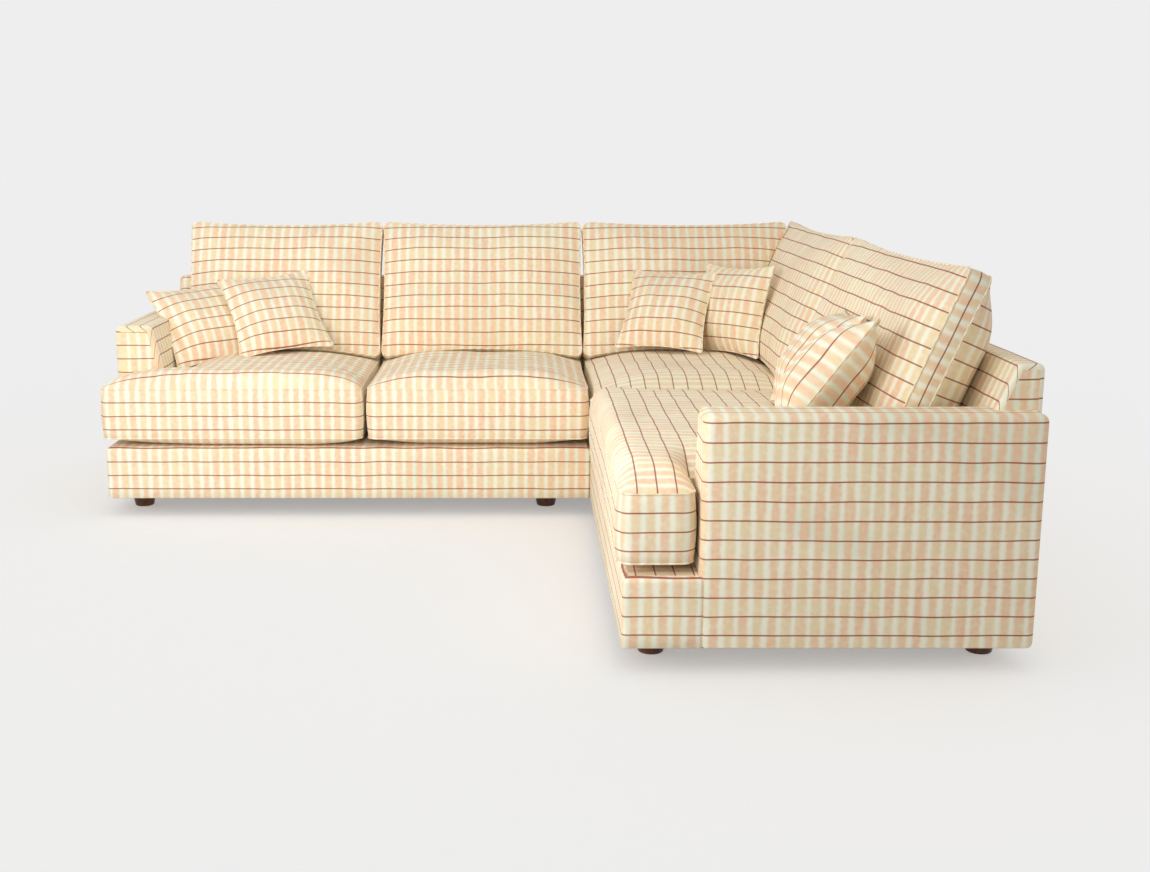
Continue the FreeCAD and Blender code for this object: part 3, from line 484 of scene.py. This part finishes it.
def makePlinth(name, node, outline, alongY):
    walls = roundedOutline(outline, [plinths["corner"]] * len(outline))
    count = len(walls)
    runs = [0.0]
    for index in range(count):
        runs.append(runs[-1] + (walls[(index + 1) % count] - walls[index]).length)
    levels = [(sofa["footTop"], plinths["hem"]), (sofa["footTop"] + plinths["hem"], 0.0)]
    levels.extend((z, 0.0) for z in plinths["rows"])
    for step in range(edgeSteps + 1):
        angle = math.pi / 2 * step / edgeSteps
        levels.append((sofa["deck"] - sofa["air"] - plinths["round"] * (1 - math.sin(angle)),
                       plinths["round"] * (1 - math.cos(angle))))
    verts = []
    for z, inset in levels:
        radius = max(plinths["corner"] - inset, plinths["leastCorner"])
        ring = roundedOutline(insetPoints(outline, inset), [radius] * len(outline))
        verts.extend(Vector((p.x, p.y, z)) for p in ring)
    faces = []
    uvs = []
    for j in range(len(levels) - 1):
        low = levels[j][0] - plinths["firstLine"]
        high = levels[j + 1][0] - plinths["firstLine"]
        for i in range(count):
            k = (i + 1) % count
            lower, upper = j * count, (j + 1) * count
            faces.append((lower + i, lower + k, upper + k, upper + i))
            uvs.append([(runs[i], low), (runs[i + 1], low), (runs[i + 1], high), (runs[i], high)])
    for start in (0, (len(levels) - 1) * count):
        faces.append(tuple(range(start, start + count)))
        uvs.append([(verts[i].y, verts[i].x) if alongY else (verts[i].x, verts[i].y)
                    for i in range(start, start + count)])
    return newPiece(name, verts, faces, uvs, "frame", (node,))


plinthRear = deckRear + plinths["into"]
plinthRight = deckRight + plinths["into"]
makePlinth("longPlinth", "long_plinth_cover", [
    Vector((sofa["left"], sofa["longFront"])),
    Vector((sofa["inner"], sofa["longFront"])),
    Vector((sofa["inner"], plinthRear)),
    Vector((leftArmIn - plinths["underArm"], plinthRear)),
    Vector((leftArmIn - plinths["underArm"], earRear + plinths["underEar"])),
    Vector((sofa["left"], earRear + plinths["underEar"])),
], False)
makePlinth("returnPlinth", "return_plinth_cover", [
    Vector((sofa["inner"], sofa["front"])),
    Vector((earRight + plinths["underEar"], sofa["front"])),
    Vector((earRight + plinths["underEar"], endArmIn - plinths["underArm"])),
    Vector((plinthRight, endArmIn - plinths["underArm"])),
    Vector((plinthRight, plinthRear)),
    Vector((sofa["inner"], plinthRear)),
], True)
print("plinths made")


# Loose cushions: two panels with a border between, seams and soft dents
cushionMesh = {
    "pitch": 0.016,
    "edgeLines": (0, 0.004, 0.01, 0.018, 0.028),
    "edgeShare": 0.3,  # of a short run, that its edge lines may take
    "edgeFull": 0.25,
    "dentLengths": (5, 7),  # per metre
    "fineLengths": (16, 22),
    "fineDent": 0.35,
    "dentRise": 3,  # dents reach full depth where a third of the crown is reached
    "puckerStep": 0.31,
    "pucker": 0.3,
    "welt": 0.0022,
    "weltProud": 0.0006,
    "weltSides": 6,
    "weltCloth": (0.012, 0.014),
}


# Grid lines from edge to edge, closer together near each edge and mark
def gridLines(low, high, marks, pitch):
    stops = sorted([low, high, *marks])
    lines = set()
    for start, end in zip(stops, stops[1:]):
        steps = [step for step in cushionMesh["edgeLines"]
                 if step < (end - start) * cushionMesh["edgeShare"]]
        first, last = start + steps[-1], end - steps[-1]
        count = max(1, round((last - first) / pitch))
        lines.update(start + step for step in steps)
        lines.update(end - step for step in steps)
        lines.update(first + (last - first) * step / count for step in range(1, count))
    return sorted(lines)


# How far a panel has risen at a distance from its seam, from 0 to 1
def rise(distance, reach):
    share = max(0.0, min(1.0, distance / reach))
    share *= 2 - share
    return cushionMesh["edgeFull"] * math.sqrt(share) + (1 - cushionMesh["edgeFull"]) * share


def rectShare(a, b, box, reaches):
    (lowA, highA), (lowB, highB) = box
    return (rise(a - lowA, reaches[0]) * rise(highA - a, reaches[1])
            * rise(b - lowB, reaches[2]) * rise(highB - b, reaches[3]))


# 0 at both ends, 1 in the middle
def bell(share):
    share = max(0.0, min(1.0, share))
    return 4 * share * (1 - share)


# Rounds a square corner of the plan: the square becomes a quarter disc
def roundCorner(a, b, cornerA, cornerB, wayA, wayB, radius):
    inA = radius - (a - cornerA) * wayA
    inB = radius - (b - cornerB) * wayB
    if inA <= 0 or inB <= 0:
        return a, b
    inA, inB = min(inA, radius), min(inB, radius)
    toA = inA * math.sqrt(1 - inB * inB / (2 * radius * radius))
    toB = inB * math.sqrt(1 - inA * inA / (2 * radius * radius))
    return cornerA + (radius - toA) * wayA, cornerB + (radius - toB) * wayB


# One closed cushion. It lies in a plan of a and b with its crown above and its belly below, is
# placed, pressed off what holds it, and gets a welt along each seam. Gives back its surface.
def makeCushion(label, spec, place, presses, panelUv, borderUv):
    columns = gridLines(*spec["columns"], spec.get("marksA", ()), spec["pitch"])
    rows = gridLines(*spec["rows"], spec.get("marksB", ()), spec["pitch"])
    inside = spec.get("inside", lambda a, b: True)
    cells = {
        (i, j)
        for i in range(len(columns) - 1) for j in range(len(rows) - 1)
        if inside((columns[i] + columns[i + 1]) / 2, (rows[j] + rows[j + 1]) / 2)
    }

    # The loop of grid corners round the plan, anticlockwise
    follow = {}
    for i, j in cells:
        for di, dj, start, end in (
            (0, -1, (i, j), (i + 1, j)), (1, 0, (i + 1, j), (i + 1, j + 1)),
            (0, 1, (i + 1, j + 1), (i, j + 1)), (-1, 0, (i, j + 1), (i, j)),
        ):
            if (i + di, j + dj) not in cells:
                follow[start] = end
    start = min(follow)
    loop = [start]
    while follow[loop[-1]] != start:
        loop.append(follow[loop[-1]])
    keys = sorted({(i + di, j + dj) for i, j in cells for di in (0, 1) for dj in (0, 1)})
    plan = {key: spec["plan"](columns[key[0]], rows[key[1]]) for key in keys}
    count = len(loop)
    outward = []
    for index in range(count):
        ahead = Vector(plan[loop[(index + 1) % count]]) - Vector(plan[loop[index - 1]])
        outward.append(Vector((ahead.y, -ahead.x)).normalized())

    # Upper panel, lower panel, and the border between them
    local = []
    above = {}
    below = {}
    seed = spec["seed"]
    wideA, wideB = cushionMesh["dentLengths"]
    fineA, fineB = cushionMesh["fineLengths"]
    for key in keys:
        a, b = plan[key]
        share = spec["crownShare"](columns[key[0]], rows[key[1]])
        dents = noise.noise(Vector((a * wideA + seed, b * wideB, seed)))
        dents += noise.noise(Vector((a * fineA, b * fineB + seed, seed))) * cushionMesh["fineDent"]
        dents *= spec["dent"] * min(1, share * cushionMesh["dentRise"])
        above[key] = len(local)
        local.append(Vector((a, b, spec["border"] + spec["crown"] * share + dents)))
    for key in keys:
        share = spec["bellyShare"](columns[key[0]], rows[key[1]])
        below[key] = len(local)
        local.append(Vector((*plan[key], -spec["belly"] * share)))
    levels = spec["levels"]
    between = []
    for index, key in enumerate(loop):
        column = [below[key]]
        for step in range(1, levels):
            share = step / levels
            a, b = plan[key]
            pucker = noise.noise(Vector((index * cushionMesh["puckerStep"], share * 2, seed)))
            pucker *= spec["dent"] * cushionMesh["pucker"]
            out = outward[index] * ((spec["swell"] + pucker) * bell(share))
            column.append(len(local))
            local.append(Vector((a + out.x, b + out.y, spec["border"] * share)))
        column.append(above[key])
        between.append(column)
    verts = [place(point) for point in local]
    for press in presses:
        press(verts)

    faces = []
    uvs = []
    for i, j in sorted(cells):
        corners = [(i, j), (i + 1, j), (i + 1, j + 1), (i, j + 1)]
        faces.append(tuple(above[c] for c in corners))
        uvs.append([panelUv(*plan[c]) for c in corners])
        faces.append(tuple(below[c] for c in reversed(corners)))
        uvs.append([panelUv(*plan[c]) for c in reversed(corners)])
    run = 0.0
    for index in range(count):
        ahead = (index + 1) % count
        length = (Vector(plan[loop[ahead]]) - Vector(plan[loop[index]])).length
        here, there = between[index], between[ahead]
        for step in range(levels):
            faces.append((here[step], there[step], there[step + 1], here[step + 1]))
            low = borderUv(spec["border"] * step / levels)
            high = borderUv(spec["border"] * (step + 1) / levels)
            uvs.append([(run, low), (run + length, low), (run + length, high), (run, high)])
        run += length
    shell = BVHTree.FromPolygons(verts, faces)

    # Welts: a thin tube on the loop of each seam
    seamFrom = len(faces)
    sides = cushionMesh["weltSides"]
    lowCloth, highCloth = cushionMesh["weltCloth"]
    facing = place(Vector((0, 0, 1))) - place(Vector((0, 0, 0)))
    for seam in spec["seams"]:
        centres = [verts[column[0 if seam == "low" else -1]] for column in between]
        base = len(verts)
        run = 0.0
        runs = [0.0]
        for index in range(count):
            before, point = centres[index - 1], centres[index]
            after = centres[(index + 1) % count]
            ahead = (after - before).normalized()
            across = ahead.cross(facing).normalized()
            upright = across.cross(ahead)
            run += (after - point).length
            runs.append(run)
            for turn in range(sides):
                angle = math.tau * turn / sides
                offset = across * math.cos(angle) + upright * math.sin(angle)
                verts.append(point + across * cushionMesh["weltProud"]
                             + offset * cushionMesh["welt"])
        for index in range(count):
            here = base + index * sides
            there = base + (index + 1) % count * sides
            for turn in range(sides):
                other = (turn + 1) % sides
                faces.append((here + turn, here + other, there + other, there + turn))
                uvs.append([(runs[index], lowCloth), (runs[index], highCloth),
                            (runs[index + 1], highCloth), (runs[index + 1], lowCloth)])
    piece = newPiece(label + "_cushion", verts, faces, uvs, label,
                     (label + "_casing", label + "_fill"), seamFrom)
    return shell


# Seat cushions: boxed, with ears in front of the arms
seats = {
    "seamLow": 0.2683,
    "border": 0.172,
    "crown": 0.058,
    "belly": 0.0265,
    "reach": 0.23,
    "earReach": 0.062,
    "corner": 0.038,
    "swell": 0.006,
    "draw": 0.005,
    "dent": 0.006,
    "levels": 8,
    "fill": 0.75,
    "firstLine": 0.303,
    "seeds": (3.7, 5.3),  # of the first cushion, and the step to the next
}
# left to right, front to rear, then the arm that it has an ear in front of
seatPlans = {
    "seat_left": ((-1.3375, -0.4425), (0.252, 0.9622), "left"),
    "seat_middle": ((-0.4245, 0.3345), (0.252, 0.9622), None),
    "seat_corner": ((0.3525, 1.0597), (0.103, 0.9622), None),
    "seat_end": ((0.3305, 1.0597), (-1.234, 0.085), "end"),
}
notch = {"left": (-1.1479, 0.420), "end": (0.5175, -1.0694)}


# Crown of a seat: two overlapping rises where it has an ear
def seatShare(label):
    rangeA, rangeB, ear = seatPlans[label]
    far, near = seats["reach"], seats["earReach"]

    def share(a, b):
        if ear is None:
            front = near if label == "seat_middle" else far
            return rectShare(a, b, (rangeA, rangeB), (far, far, front, far))
        cutA, cutB = notch[ear]
        if ear == "left":
            main = rectShare(a, b, ((cutA, rangeA[1]), rangeB), (far, far, near, far))
            wing = rectShare(a, b, (rangeA, (rangeB[0], cutB)), (far, far, near, near))
        else:
            main = rectShare(a, b, (rangeA, (cutB, rangeB[1])), (near, far, far, far))
            wing = rectShare(a, b, ((rangeA[0], cutA), rangeB), (near, near, far, far))
        return 1 - (1 - main) * (1 - wing)

    return share


def seatInside(label):
    ear = seatPlans[label][2]
    if ear is None:
        return lambda a, b: True
    cutA, cutB = notch[ear]
    if ear == "left":
        return lambda a, b: a > cutA or b < cutB
    return lambda a, b: a < cutA or b > cutB


def seatPlan(label):
    rangeA, rangeB, ear = seatPlans[label]
    corners = {(0, 0), (1, 0), (1, 1), (0, 1)}
    if ear == "left":
        corners.discard((0, 1))
    if ear == "end":
        corners.discard((1, 0))
    spots = [(rangeA[i], rangeB[j], 1 - 2 * i, 1 - 2 * j) for i, j in sorted(corners)]
    if ear:
        cutA, cutB = notch[ear]
    if ear == "left":
        spots += [(rangeA[0], cutB, 1, -1), (cutA, rangeB[1], 1, -1)]
    if ear == "end":
        spots += [(cutA, rangeB[0], -1, 1), (rangeA[1], cutB, -1, 1)]

    def plan(a, b):
        shareA = (a - rangeA[0]) / (rangeA[1] - rangeA[0])
        shareB = (b - rangeB[0]) / (rangeB[1] - rangeB[0])
        movedA = a + seats["draw"] * bell(shareB) * (1 - 2 * shareA)
        movedB = b + seats["draw"] * bell(shareA) * (1 - 2 * shareB)
        for cornerA, cornerB, wayA, wayB in spots:
            roundedA, roundedB = roundCorner(a, b, cornerA, cornerB, wayA, wayB, seats["corner"])
            movedA += roundedA - a
            movedB += roundedB - b
        return movedA, movedB

    return plan


seatShells = {}
for order, (label, (rangeA, rangeB, ear)) in enumerate(seatPlans.items()):
    spec = {
        **seats, "columns": rangeA, "rows": rangeB, "pitch": cushionMesh["pitch"],
        "marksA": (notch[ear][0],) if ear else (), "marksB": (notch[ear][1],) if ear else (),
        "inside": seatInside(label), "plan": seatPlan(label),
        "crownShare": seatShare(label), "bellyShare": seatShare(label),
        "seed": seats["seeds"][0] + order * seats["seeds"][1], "seams": ("low", "high"),
    }
    alongY = label in ("seat_corner", "seat_end")
    seatShells[label] = makeCushion(
        label, spec, lambda p: Vector((p.x, p.y, p.z + seats["seamLow"])), (),
        (lambda a, b: (b, a)) if alongY else (lambda a, b: (a, b)),
        lambda h: h + seats["seamLow"] - seats["firstLine"],
    )
print("seat cushions made")


# Moves points out of a cushion that holds them, straight along one way, with a little air left
def pressOff(shell, way, furthest=0.16):
    way = Vector(way).normalized()

    def press(verts):
        for index, point in enumerate(verts):
            hit = shell.ray_cast(point + way, -way, 1.0 + sofa["air"])
            if hit[0] is not None:
                reach = (hit[0] - point).dot(way) + sofa["air"]
                if 0 < reach < furthest:
                    verts[index] = point + way * reach

    return press


up, forward, inward = (0, 0, 1), (0, -1, 0), (-1, 0, 0)


def offRearBack(verts):
    for point in verts:
        point.y = min(point.y, sofa["rear"] - backDepth(point.z) - sofa["air"])


def offSideBack(verts):
    for point in verts:
        point.x = min(point.x, sofa["right"] - backDepth(point.z) - sofa["air"])


def armFace(z):
    share = (z - sofa["flare"]) / (sofa["armTop"] - sofa["flare"])
    return sofa["armLowWide"] - (sofa["armLowWide"] - sofa["armTopWide"]) * max(0, min(1, share))


def offLeftArm(verts):
    for point in verts:
        if point.z < sofa["armTop"]:
            point.x = max(point.x, sofa["left"] + armFace(point.z) + sofa["air"])


def offEndArm(verts):
    for point in verts:
        if point.z < sofa["armTop"]:
            point.y = max(point.y, sofa["front"] + armFace(point.z) + sofa["air"])


# Back cushions: boxed and full behind, leaning on the raked frame
backCushions = {
    "tall": 0.545,
    "border": 0.057,
    "crown": 0.045,
    "belly": 0.118,
    "reach": 0.17,
    "corner": 0.03,
    "arch": 0.034,
    "dip": 0.016,
    "draw": 0.008,
    "swell": 0.004,
    "dent": 0.008,
    "levels": 4,
    "fill": 0.7,
    "firstLine": 0.03,
    "seeds": (41.3, 7.1),
    "rear": (0, 0.92234, 0.4408),  # foot of the cushions on the long run
    "side": (1.01984, 0, 0.4408),  # and on the return
}
rakeTurn = Matrix.Rotation(math.pi / 2 - math.atan(sofa["rake"]), 3, "X")
# Across: low left, low right, top left, top right; then the run that it leans on
backPlans = {
    "back_left": ((-1.1825, -0.4365, -1.1825, -0.4365), "rear"),
    "back_middle": ((-0.4305, 0.3405, -0.4305, 0.3405), "rear"),
    "back_corner_side": ((-1.041, -0.097, -1.172, -0.097), "side"),
    "back_corner_rear": ((0.3465, 0.9655, 0.3465, 1.152), "rear"),
    "back_end": ((-0.091, 1.104, -0.091, 1.104), "side"),
}
backPresses = {
    "back_left": (pressOff(seatShells["seat_left"], up), offRearBack, offLeftArm),
    "back_middle": (pressOff(seatShells["seat_middle"], up), offRearBack),
    "back_corner_side": (pressOff(seatShells["seat_corner"], up), offSideBack),
    "back_corner_rear": (pressOff(seatShells["seat_corner"], up), offRearBack),
    "back_end": (pressOff(seatShells["seat_end"], up), offSideBack, offEndArm),
}
backShells = {}
for order, (label, (ends, run)) in enumerate(backPlans.items()):
    across = (0.0, ends[1] - ends[0])
    tall = backCushions["tall"]

    def backPlan(a, b, ends=ends, wide=across[1]):
        lowLeft, lowRight, topLeft, topRight = ends
        spots = [(x, y, 1 if x == 0 else -1, 1 if y == 0 else -1)
                 for x in (0, wide) for y in (0, tall)]
        movedA, movedB = a, b
        for spot in spots:
            movedA, movedB = roundCorner(movedA, movedB, *spot, backCushions["corner"])
        shareA, shareB = movedA / wide, movedB / tall
        left = lowLeft + (topLeft - lowLeft) * shareB
        right = lowRight + (topRight - lowRight) * shareB
        draw = backCushions["draw"] * bell(shareB) * (1 - 2 * shareA)
        lift = backCushions["arch"] * (1 - shareB) - backCushions["dip"] * shareB
        return left + (right - left) * shareA + draw, movedB + lift * bell(shareA)

    def backShare(a, b, across=across):
        return rectShare(a, b, (across, (0, tall)), (backCushions["reach"],) * 4)

    turn = Matrix.Rotation(-math.pi / 2, 3, "Z") @ rakeTurn if run == "side" else rakeTurn
    origin = Vector(backCushions[run])
    presses = list(backPresses[label])
    if label == "back_corner_rear":
        presses.append(pressOff(backShells["back_corner_side"], inward))
    spec = {
        **backCushions, "columns": across, "rows": (0.0, tall), "pitch": cushionMesh["pitch"],
        "plan": backPlan, "crownShare": backShare, "bellyShare": backShare,
        "seed": backCushions["seeds"][0] + order * backCushions["seeds"][1],
        "seams": ("low", "high"),
    }
    backShells[label] = makeCushion(
        label, spec, lambda p, turn=turn, origin=origin: origin + turn @ p, presses,
        lambda a, b: (a, b), lambda h: h - backCushions["firstLine"],
    )
print("back cushions made")


# Scatter cushions: knife-edge squares with pointed corners
scatters = {
    "border": 0.006,
    "reach": 0.13,
    "corner": 0.012,
    "draw": 0.02,
    "swell": 0.0,
    "dent": 0.007,
    "levels": 2,
    "fill": 0.6,
    "pitch": 0.011,
    "firstLine": 0.012,
    "seamLine": 0.01,
    "seeds": (91.7, 6.1),
}
# Middle, turn about the upright, roll, lean, width, crown, whether its lines stand upright
scatterPlans = {
    "scatter_arm": ((-1.0735, 0.766, 0.601), 36, -4, 42, 0.36, 0.055, False),
    "scatter_left": ((-0.8215, 0.798, 0.637), 26, -4, 41, 0.36, 0.055, False),
    "scatter_side": ((0.8955, 0.756, 0.655), -52, -2, 15, 0.345, 0.055, False),
    "scatter_corner": ((0.6575, 0.82, 0.646), -24, 0, 35, 0.345, 0.055, False),
    "scatter_far": ((0.9425, -0.526, 0.655), -93, -4, 38, 0.345, 0.08, True),
    "scatter_near": ((0.8875, -0.885, 0.66), -95, -12, 38, 0.36, 0.084, True),
}
# What each is pressed off, in turn: a cushion and a way, or an arm
scatterPresses = {
    "scatter_arm": (("seat_left", up), offLeftArm, ("back_left", forward)),
    "scatter_left": (("seat_left", up), ("back_left", forward), ("scatter_arm", (1, -1, 1))),
    "scatter_side": (("seat_corner", up), ("back_corner_side", inward),
                     ("back_corner_rear", forward)),
    "scatter_corner": (("seat_corner", up), ("back_corner_rear", forward),
                       ("scatter_side", (-1, -1, 1))),
    "scatter_far": (("seat_end", up), ("back_end", inward)),
    "scatter_near": (("seat_end", up), ("back_end", inward), offEndArm,
                     ("scatter_far", (-1, 0, 1))),
}
shells = {**seatShells, **backShells}
for order, (label, plan) in enumerate(scatterPlans.items()):
    middle, turn, roll, lean, wide, crown, upright = plan

    def scatterPlan(a, b, half=wide / 2):
        movedA, movedB = a, b
        for cornerA in (-half, half):
            for cornerB in (-half, half):
                movedA, movedB = roundCorner(movedA, movedB, cornerA, cornerB,
                                             -1 if cornerA > 0 else 1, -1 if cornerB > 0 else 1,
                                             scatters["corner"])
        drawA = scatters["draw"] * (1 - (movedB / half) ** 2) * movedA / half
        drawB = scatters["draw"] * (1 - (movedA / half) ** 2) * movedB / half
        return movedA - drawA, movedB - drawB

    def scatterShare(a, b, half=wide / 2):
        return rectShare(a, b, ((-half, half), (-half, half)), (scatters["reach"],) * 4)

    turned = (Matrix.Rotation(math.radians(turn), 3, "Z")
              @ Matrix.Rotation(math.radians(roll), 3, "Y")
              @ Matrix.Rotation(math.radians(90 - lean), 3, "X"))
    presses = [pressOff(shells[step[0]], step[1]) if isinstance(step, tuple) else step
               for step in scatterPresses[label]]
    spec = {
        **scatters, "columns": (-wide / 2, wide / 2), "rows": (-wide / 2, wide / 2),
        "plan": scatterPlan, "crownShare": scatterShare, "bellyShare": scatterShare,
        "crown": crown, "belly": crown,
        "seed": scatters["seeds"][0] + order * scatters["seeds"][1], "seams": ("high",),
    }
    shells[label] = makeCushion(
        label, spec, lambda p, turned=turned, middle=middle: Vector(middle) + turned @ p, presses,
        (lambda a, b: (b, a + scatters["firstLine"])) if upright
        else (lambda a, b: (a, b + scatters["firstLine"])),
        lambda h: h + scatters["seamLine"],
    )
print("scatter cushions made")


# Solids that stay as the frame gives them get the finish of the real thing: dark colour, light
# colour, roughness, grains per metre, and their scale along x, y and z, where less draws them out
solids = {
    # a dark upright grain, 17 mm across and 140 mm long, under a low gloss
    "foot_wood": ("stained walnut, turned and lacquered",
                  "#4E2813", "#7A4526", 0.32, 60.0, (1.0, 1.0, 0.12)),
    # pale and dry, with grain of about 22 mm
    "timber": ("beech, sawn", "#A97F4E", "#C9A06C", 0.7, 45.0, (0.15, 0.15, 1.0)),
    # near black, with a 2 mm weave
    "webbing": ("elastic webbing, woven", "#3A3733", "#57514A", 0.9, 500.0, (1.0, 1.0, 1.0)),
    # flat black, faintly fibrous: fibres of 1.4 mm, coarser than real so that they show
    "dust_cloth": ("polypropylene felt, pressed",
                   "#26262A", "#3A3A3E", 0.95, 700.0, (1.0, 1.0, 1.0)),
}
grainSteps = {"detail": 6.0, "twist": 0.6, "from": (0.35, 0.68), "relief": 0.0004, "strength": 0.2}
zinc = {"dark": "#85888A", "light": "#B9BBBD", "roughness": 0.38, "clouds": 90.0}


def grainMaterial(name, dark, light, roughness, scale, stretch):
    material, tree, shader = newMaterial(name, roughness)
    place = addNode(tree, "TexCoord", {}, {})
    run = addNode(tree, "Mapping", {}, {0: place.outputs[3], 3: stretch})
    grain = addNode(tree, "TexNoise", {}, {
        "Vector": run, "Scale": scale,
        "Detail": grainSteps["detail"], "Distortion": grainSteps["twist"],
    })
    darkest, lightest = grainSteps["from"]
    tone = addNode(tree, "MapRange", {}, {0: grain, 1: darkest, 2: lightest})
    colour = addNode(tree, "Mix", {"data_type": "RGBA"},
                     {0: tone, 6: hexColour(dark), 7: hexColour(light)})
    tree.links.new(colour.outputs[2], shader.inputs["Base Color"])
    bump = addNode(tree, "Bump", {}, {
        "Strength": grainSteps["strength"], "Distance": grainSteps["relief"], "Height": grain,
    })
    tree.links.new(bump.outputs[0], shader.inputs["Normal"])
    return material


finishes = {slot: grainMaterial(*values) for slot, values in solids.items()}

# Spring steel, zinc plated: a grey metal with cloudy brightness from the bath, 11 mm across
steel, tree, shader = newMaterial("spring steel, zinc plated", zinc["roughness"], 0.5, 1.0)
cloudy = addNode(tree, "TexNoise", {}, {"Scale": zinc["clouds"], "Detail": 3.0})
plating = addNode(tree, "Mix", {"data_type": "RGBA"},
                  {0: cloudy, 6: hexColour(zinc["dark"]), 7: hexColour(zinc["light"])})
tree.links.new(plating.outputs[2], shader.inputs["Base Color"])
finishes["steel"] = steel
for entry in frame["record"]["subparts"]:
    finish = finishes.get(entry["material_slot"])
    solid = bpy.data.objects.get(entry["node"])
    if finish and solid:
        if solid.material_slots:
            for slot in solid.material_slots:
                slot.material = finish
        else:
            solid.data.materials.append(finish)
print("solids finished")


# Dust cloths: felt tacked tight under each base, sagging a little between the rails
dust = {
    "in": 0.004,
    "corner": 0.024,
    "height": 0.0606,
    "sag": 0.00048,
    "reach": 0.2,
    "pitch": 0.06,
}


def makeDustCloth(name, lowA, highA, lowB, highB):
    columns = gridLines(lowA, highA, (), dust["pitch"])
    rows = gridLines(lowB, highB, (), dust["pitch"])
    verts = []
    corners = [(cornerA, cornerB, wayA, wayB) for cornerA, wayA in ((lowA, 1), (highA, -1))
               for cornerB, wayB in ((lowB, 1), (highB, -1))]
    for a in columns:
        for b in rows:
            x, y = a, b
            for corner in corners:
                x, y = roundCorner(x, y, *corner, dust["corner"])
            hang = (rise(min(a - lowA, highA - a), dust["reach"])
                    * rise(min(b - lowB, highB - b), dust["reach"]))
            verts.append(Vector((x, y, dust["height"] - dust["sag"] * hang)))
    wide = len(rows)
    faces = [(i * wide + j, i * wide + j + 1, (i + 1) * wide + j + 1, (i + 1) * wide + j)
             for i in range(len(columns) - 1) for j in range(wide - 1)]
    uvs = [[(verts[i].x, verts[i].y) for i in face] for face in faces]
    piece = newPiece(name, verts, faces, uvs, "frame", ("dust_covers",),
                     skins=(finishes["dust_cloth"],))


makeDustCloth("longDustCloth", sofa["left"] + dust["in"], sofa["inner"] - dust["in"],
              sofa["longFront"] + dust["in"], sofa["rear"] - dust["in"])
makeDustCloth("returnDustCloth", sofa["inner"] + dust["in"], sofa["right"] - dust["in"],
              sofa["front"] + dust["in"], sofa["rear"] - dust["in"])
print("dust cloths made")


# Floor, lights and camera
studio = {
    "shown": "#EEEEEE",  # floor and backdrop as the camera sees them
    "paper": 0.8,
    "paperRoughness": 0.95,
    "floorHalf": 60,
    "world": 0.64,
}
lamps = {  # place, what it points at, width, power
    "key": ((-0.9, -1.75, 1.15), (-0.4, 0.5, 0.5), 1.6, 27.0),
    "fill": ((-2.6, -0.7, 1.7), (0.6, 0.5, 0.6), 2.0, 13.0),
}
photographed = {
    "lens": 43.79,
    "shiftX": 0.05,
    "place": (0.0922, -4.4565, 1.2404),
    "tilt": 78.458,
}
shown = hexColour(studio["shown"])[0]


# 1 for rays that show the backdrop: from the camera, or off or through something
def backdropRays(tree):
    rays = addNode(tree, "LightPath", {}, {})
    seen = addNode(tree, "Math", {"operation": "MAXIMUM"},
                   {0: rays.outputs["Is Camera Ray"], 1: rays.outputs["Is Glossy Ray"]})
    return addNode(tree, "Math", {"operation": "MAXIMUM"},
                   {0: seen, 1: rays.outputs["Is Transmission Ray"]})


half = studio["floorHalf"]
floorMesh = bpy.data.meshes.new("floor")
floorMesh.from_pydata([(-half, -half, 0), (half, -half, 0), (half, half, 0), (-half, half, 0)],
                      [], [(0, 1, 2, 3)])
floor = bpy.data.objects.new("floor", floorMesh)
bpy.context.scene.collection.objects.link(floor)
paper, tree, shader = newMaterial("studio paper, matt", studio["paperRoughness"], 0.0)
shader.inputs["Base Color"].default_value = (studio["paper"],) * 3 + (1,)
shader.inputs["Emission Color"].default_value = (1, 1, 1, 1)
lift = addNode(tree, "Math", {"operation": "MULTIPLY"},
               {0: backdropRays(tree), 1: shown - studio["paper"] * studio["world"]})
tree.links.new(lift.outputs[0], shader.inputs["Emission Strength"])
floorMesh.materials.append(paper)

world = bpy.data.worlds.new("studio")
bpy.context.scene.world = world
world.use_nodes = True
sky = world.node_tree
level = addNode(sky, "MapRange", {}, {0: backdropRays(sky), 3: studio["world"], 4: shown})
sky.links.new(level.outputs[0], sky.nodes["Background"].inputs["Strength"])
sky.nodes["Background"].inputs["Color"].default_value = (1, 1, 1, 1)

# The lamps leave the floor to the plain sky
offFloor = bpy.data.collections.new("lit by the lamps")
offFloor.objects.link(floor)
offFloor.collection_objects[0].light_linking.link_state = "EXCLUDE"
for name, (place, target, wide, power) in lamps.items():
    lamp = bpy.data.lights.new(name, "AREA")
    lamp.shape = "DISK"
    lamp.size = wide
    lamp.energy = power
    holder = bpy.data.objects.new(name, lamp)
    holder.location = place
    holder.rotation_euler = (Vector(target) - Vector(place)).to_track_quat("-Z", "Y").to_euler()
    holder.visible_camera = False
    holder.light_linking.receiver_collection = offFloor
    bpy.context.scene.collection.objects.link(holder)

view = bpy.data.cameras.new("camera")
view.sensor_width = 36
view.lens = photographed["lens"]
view.shift_x = photographed["shiftX"]
view.clip_end = 100
camera = bpy.data.objects.new("camera", view)
camera.location = photographed["place"]
camera.rotation_euler = (math.radians(photographed["tilt"]), 0, 0)
bpy.context.scene.collection.objects.link(camera)
bpy.context.scene.camera = camera
bpy.context.scene.view_settings.view_transform = "Standard"
print("studio made")
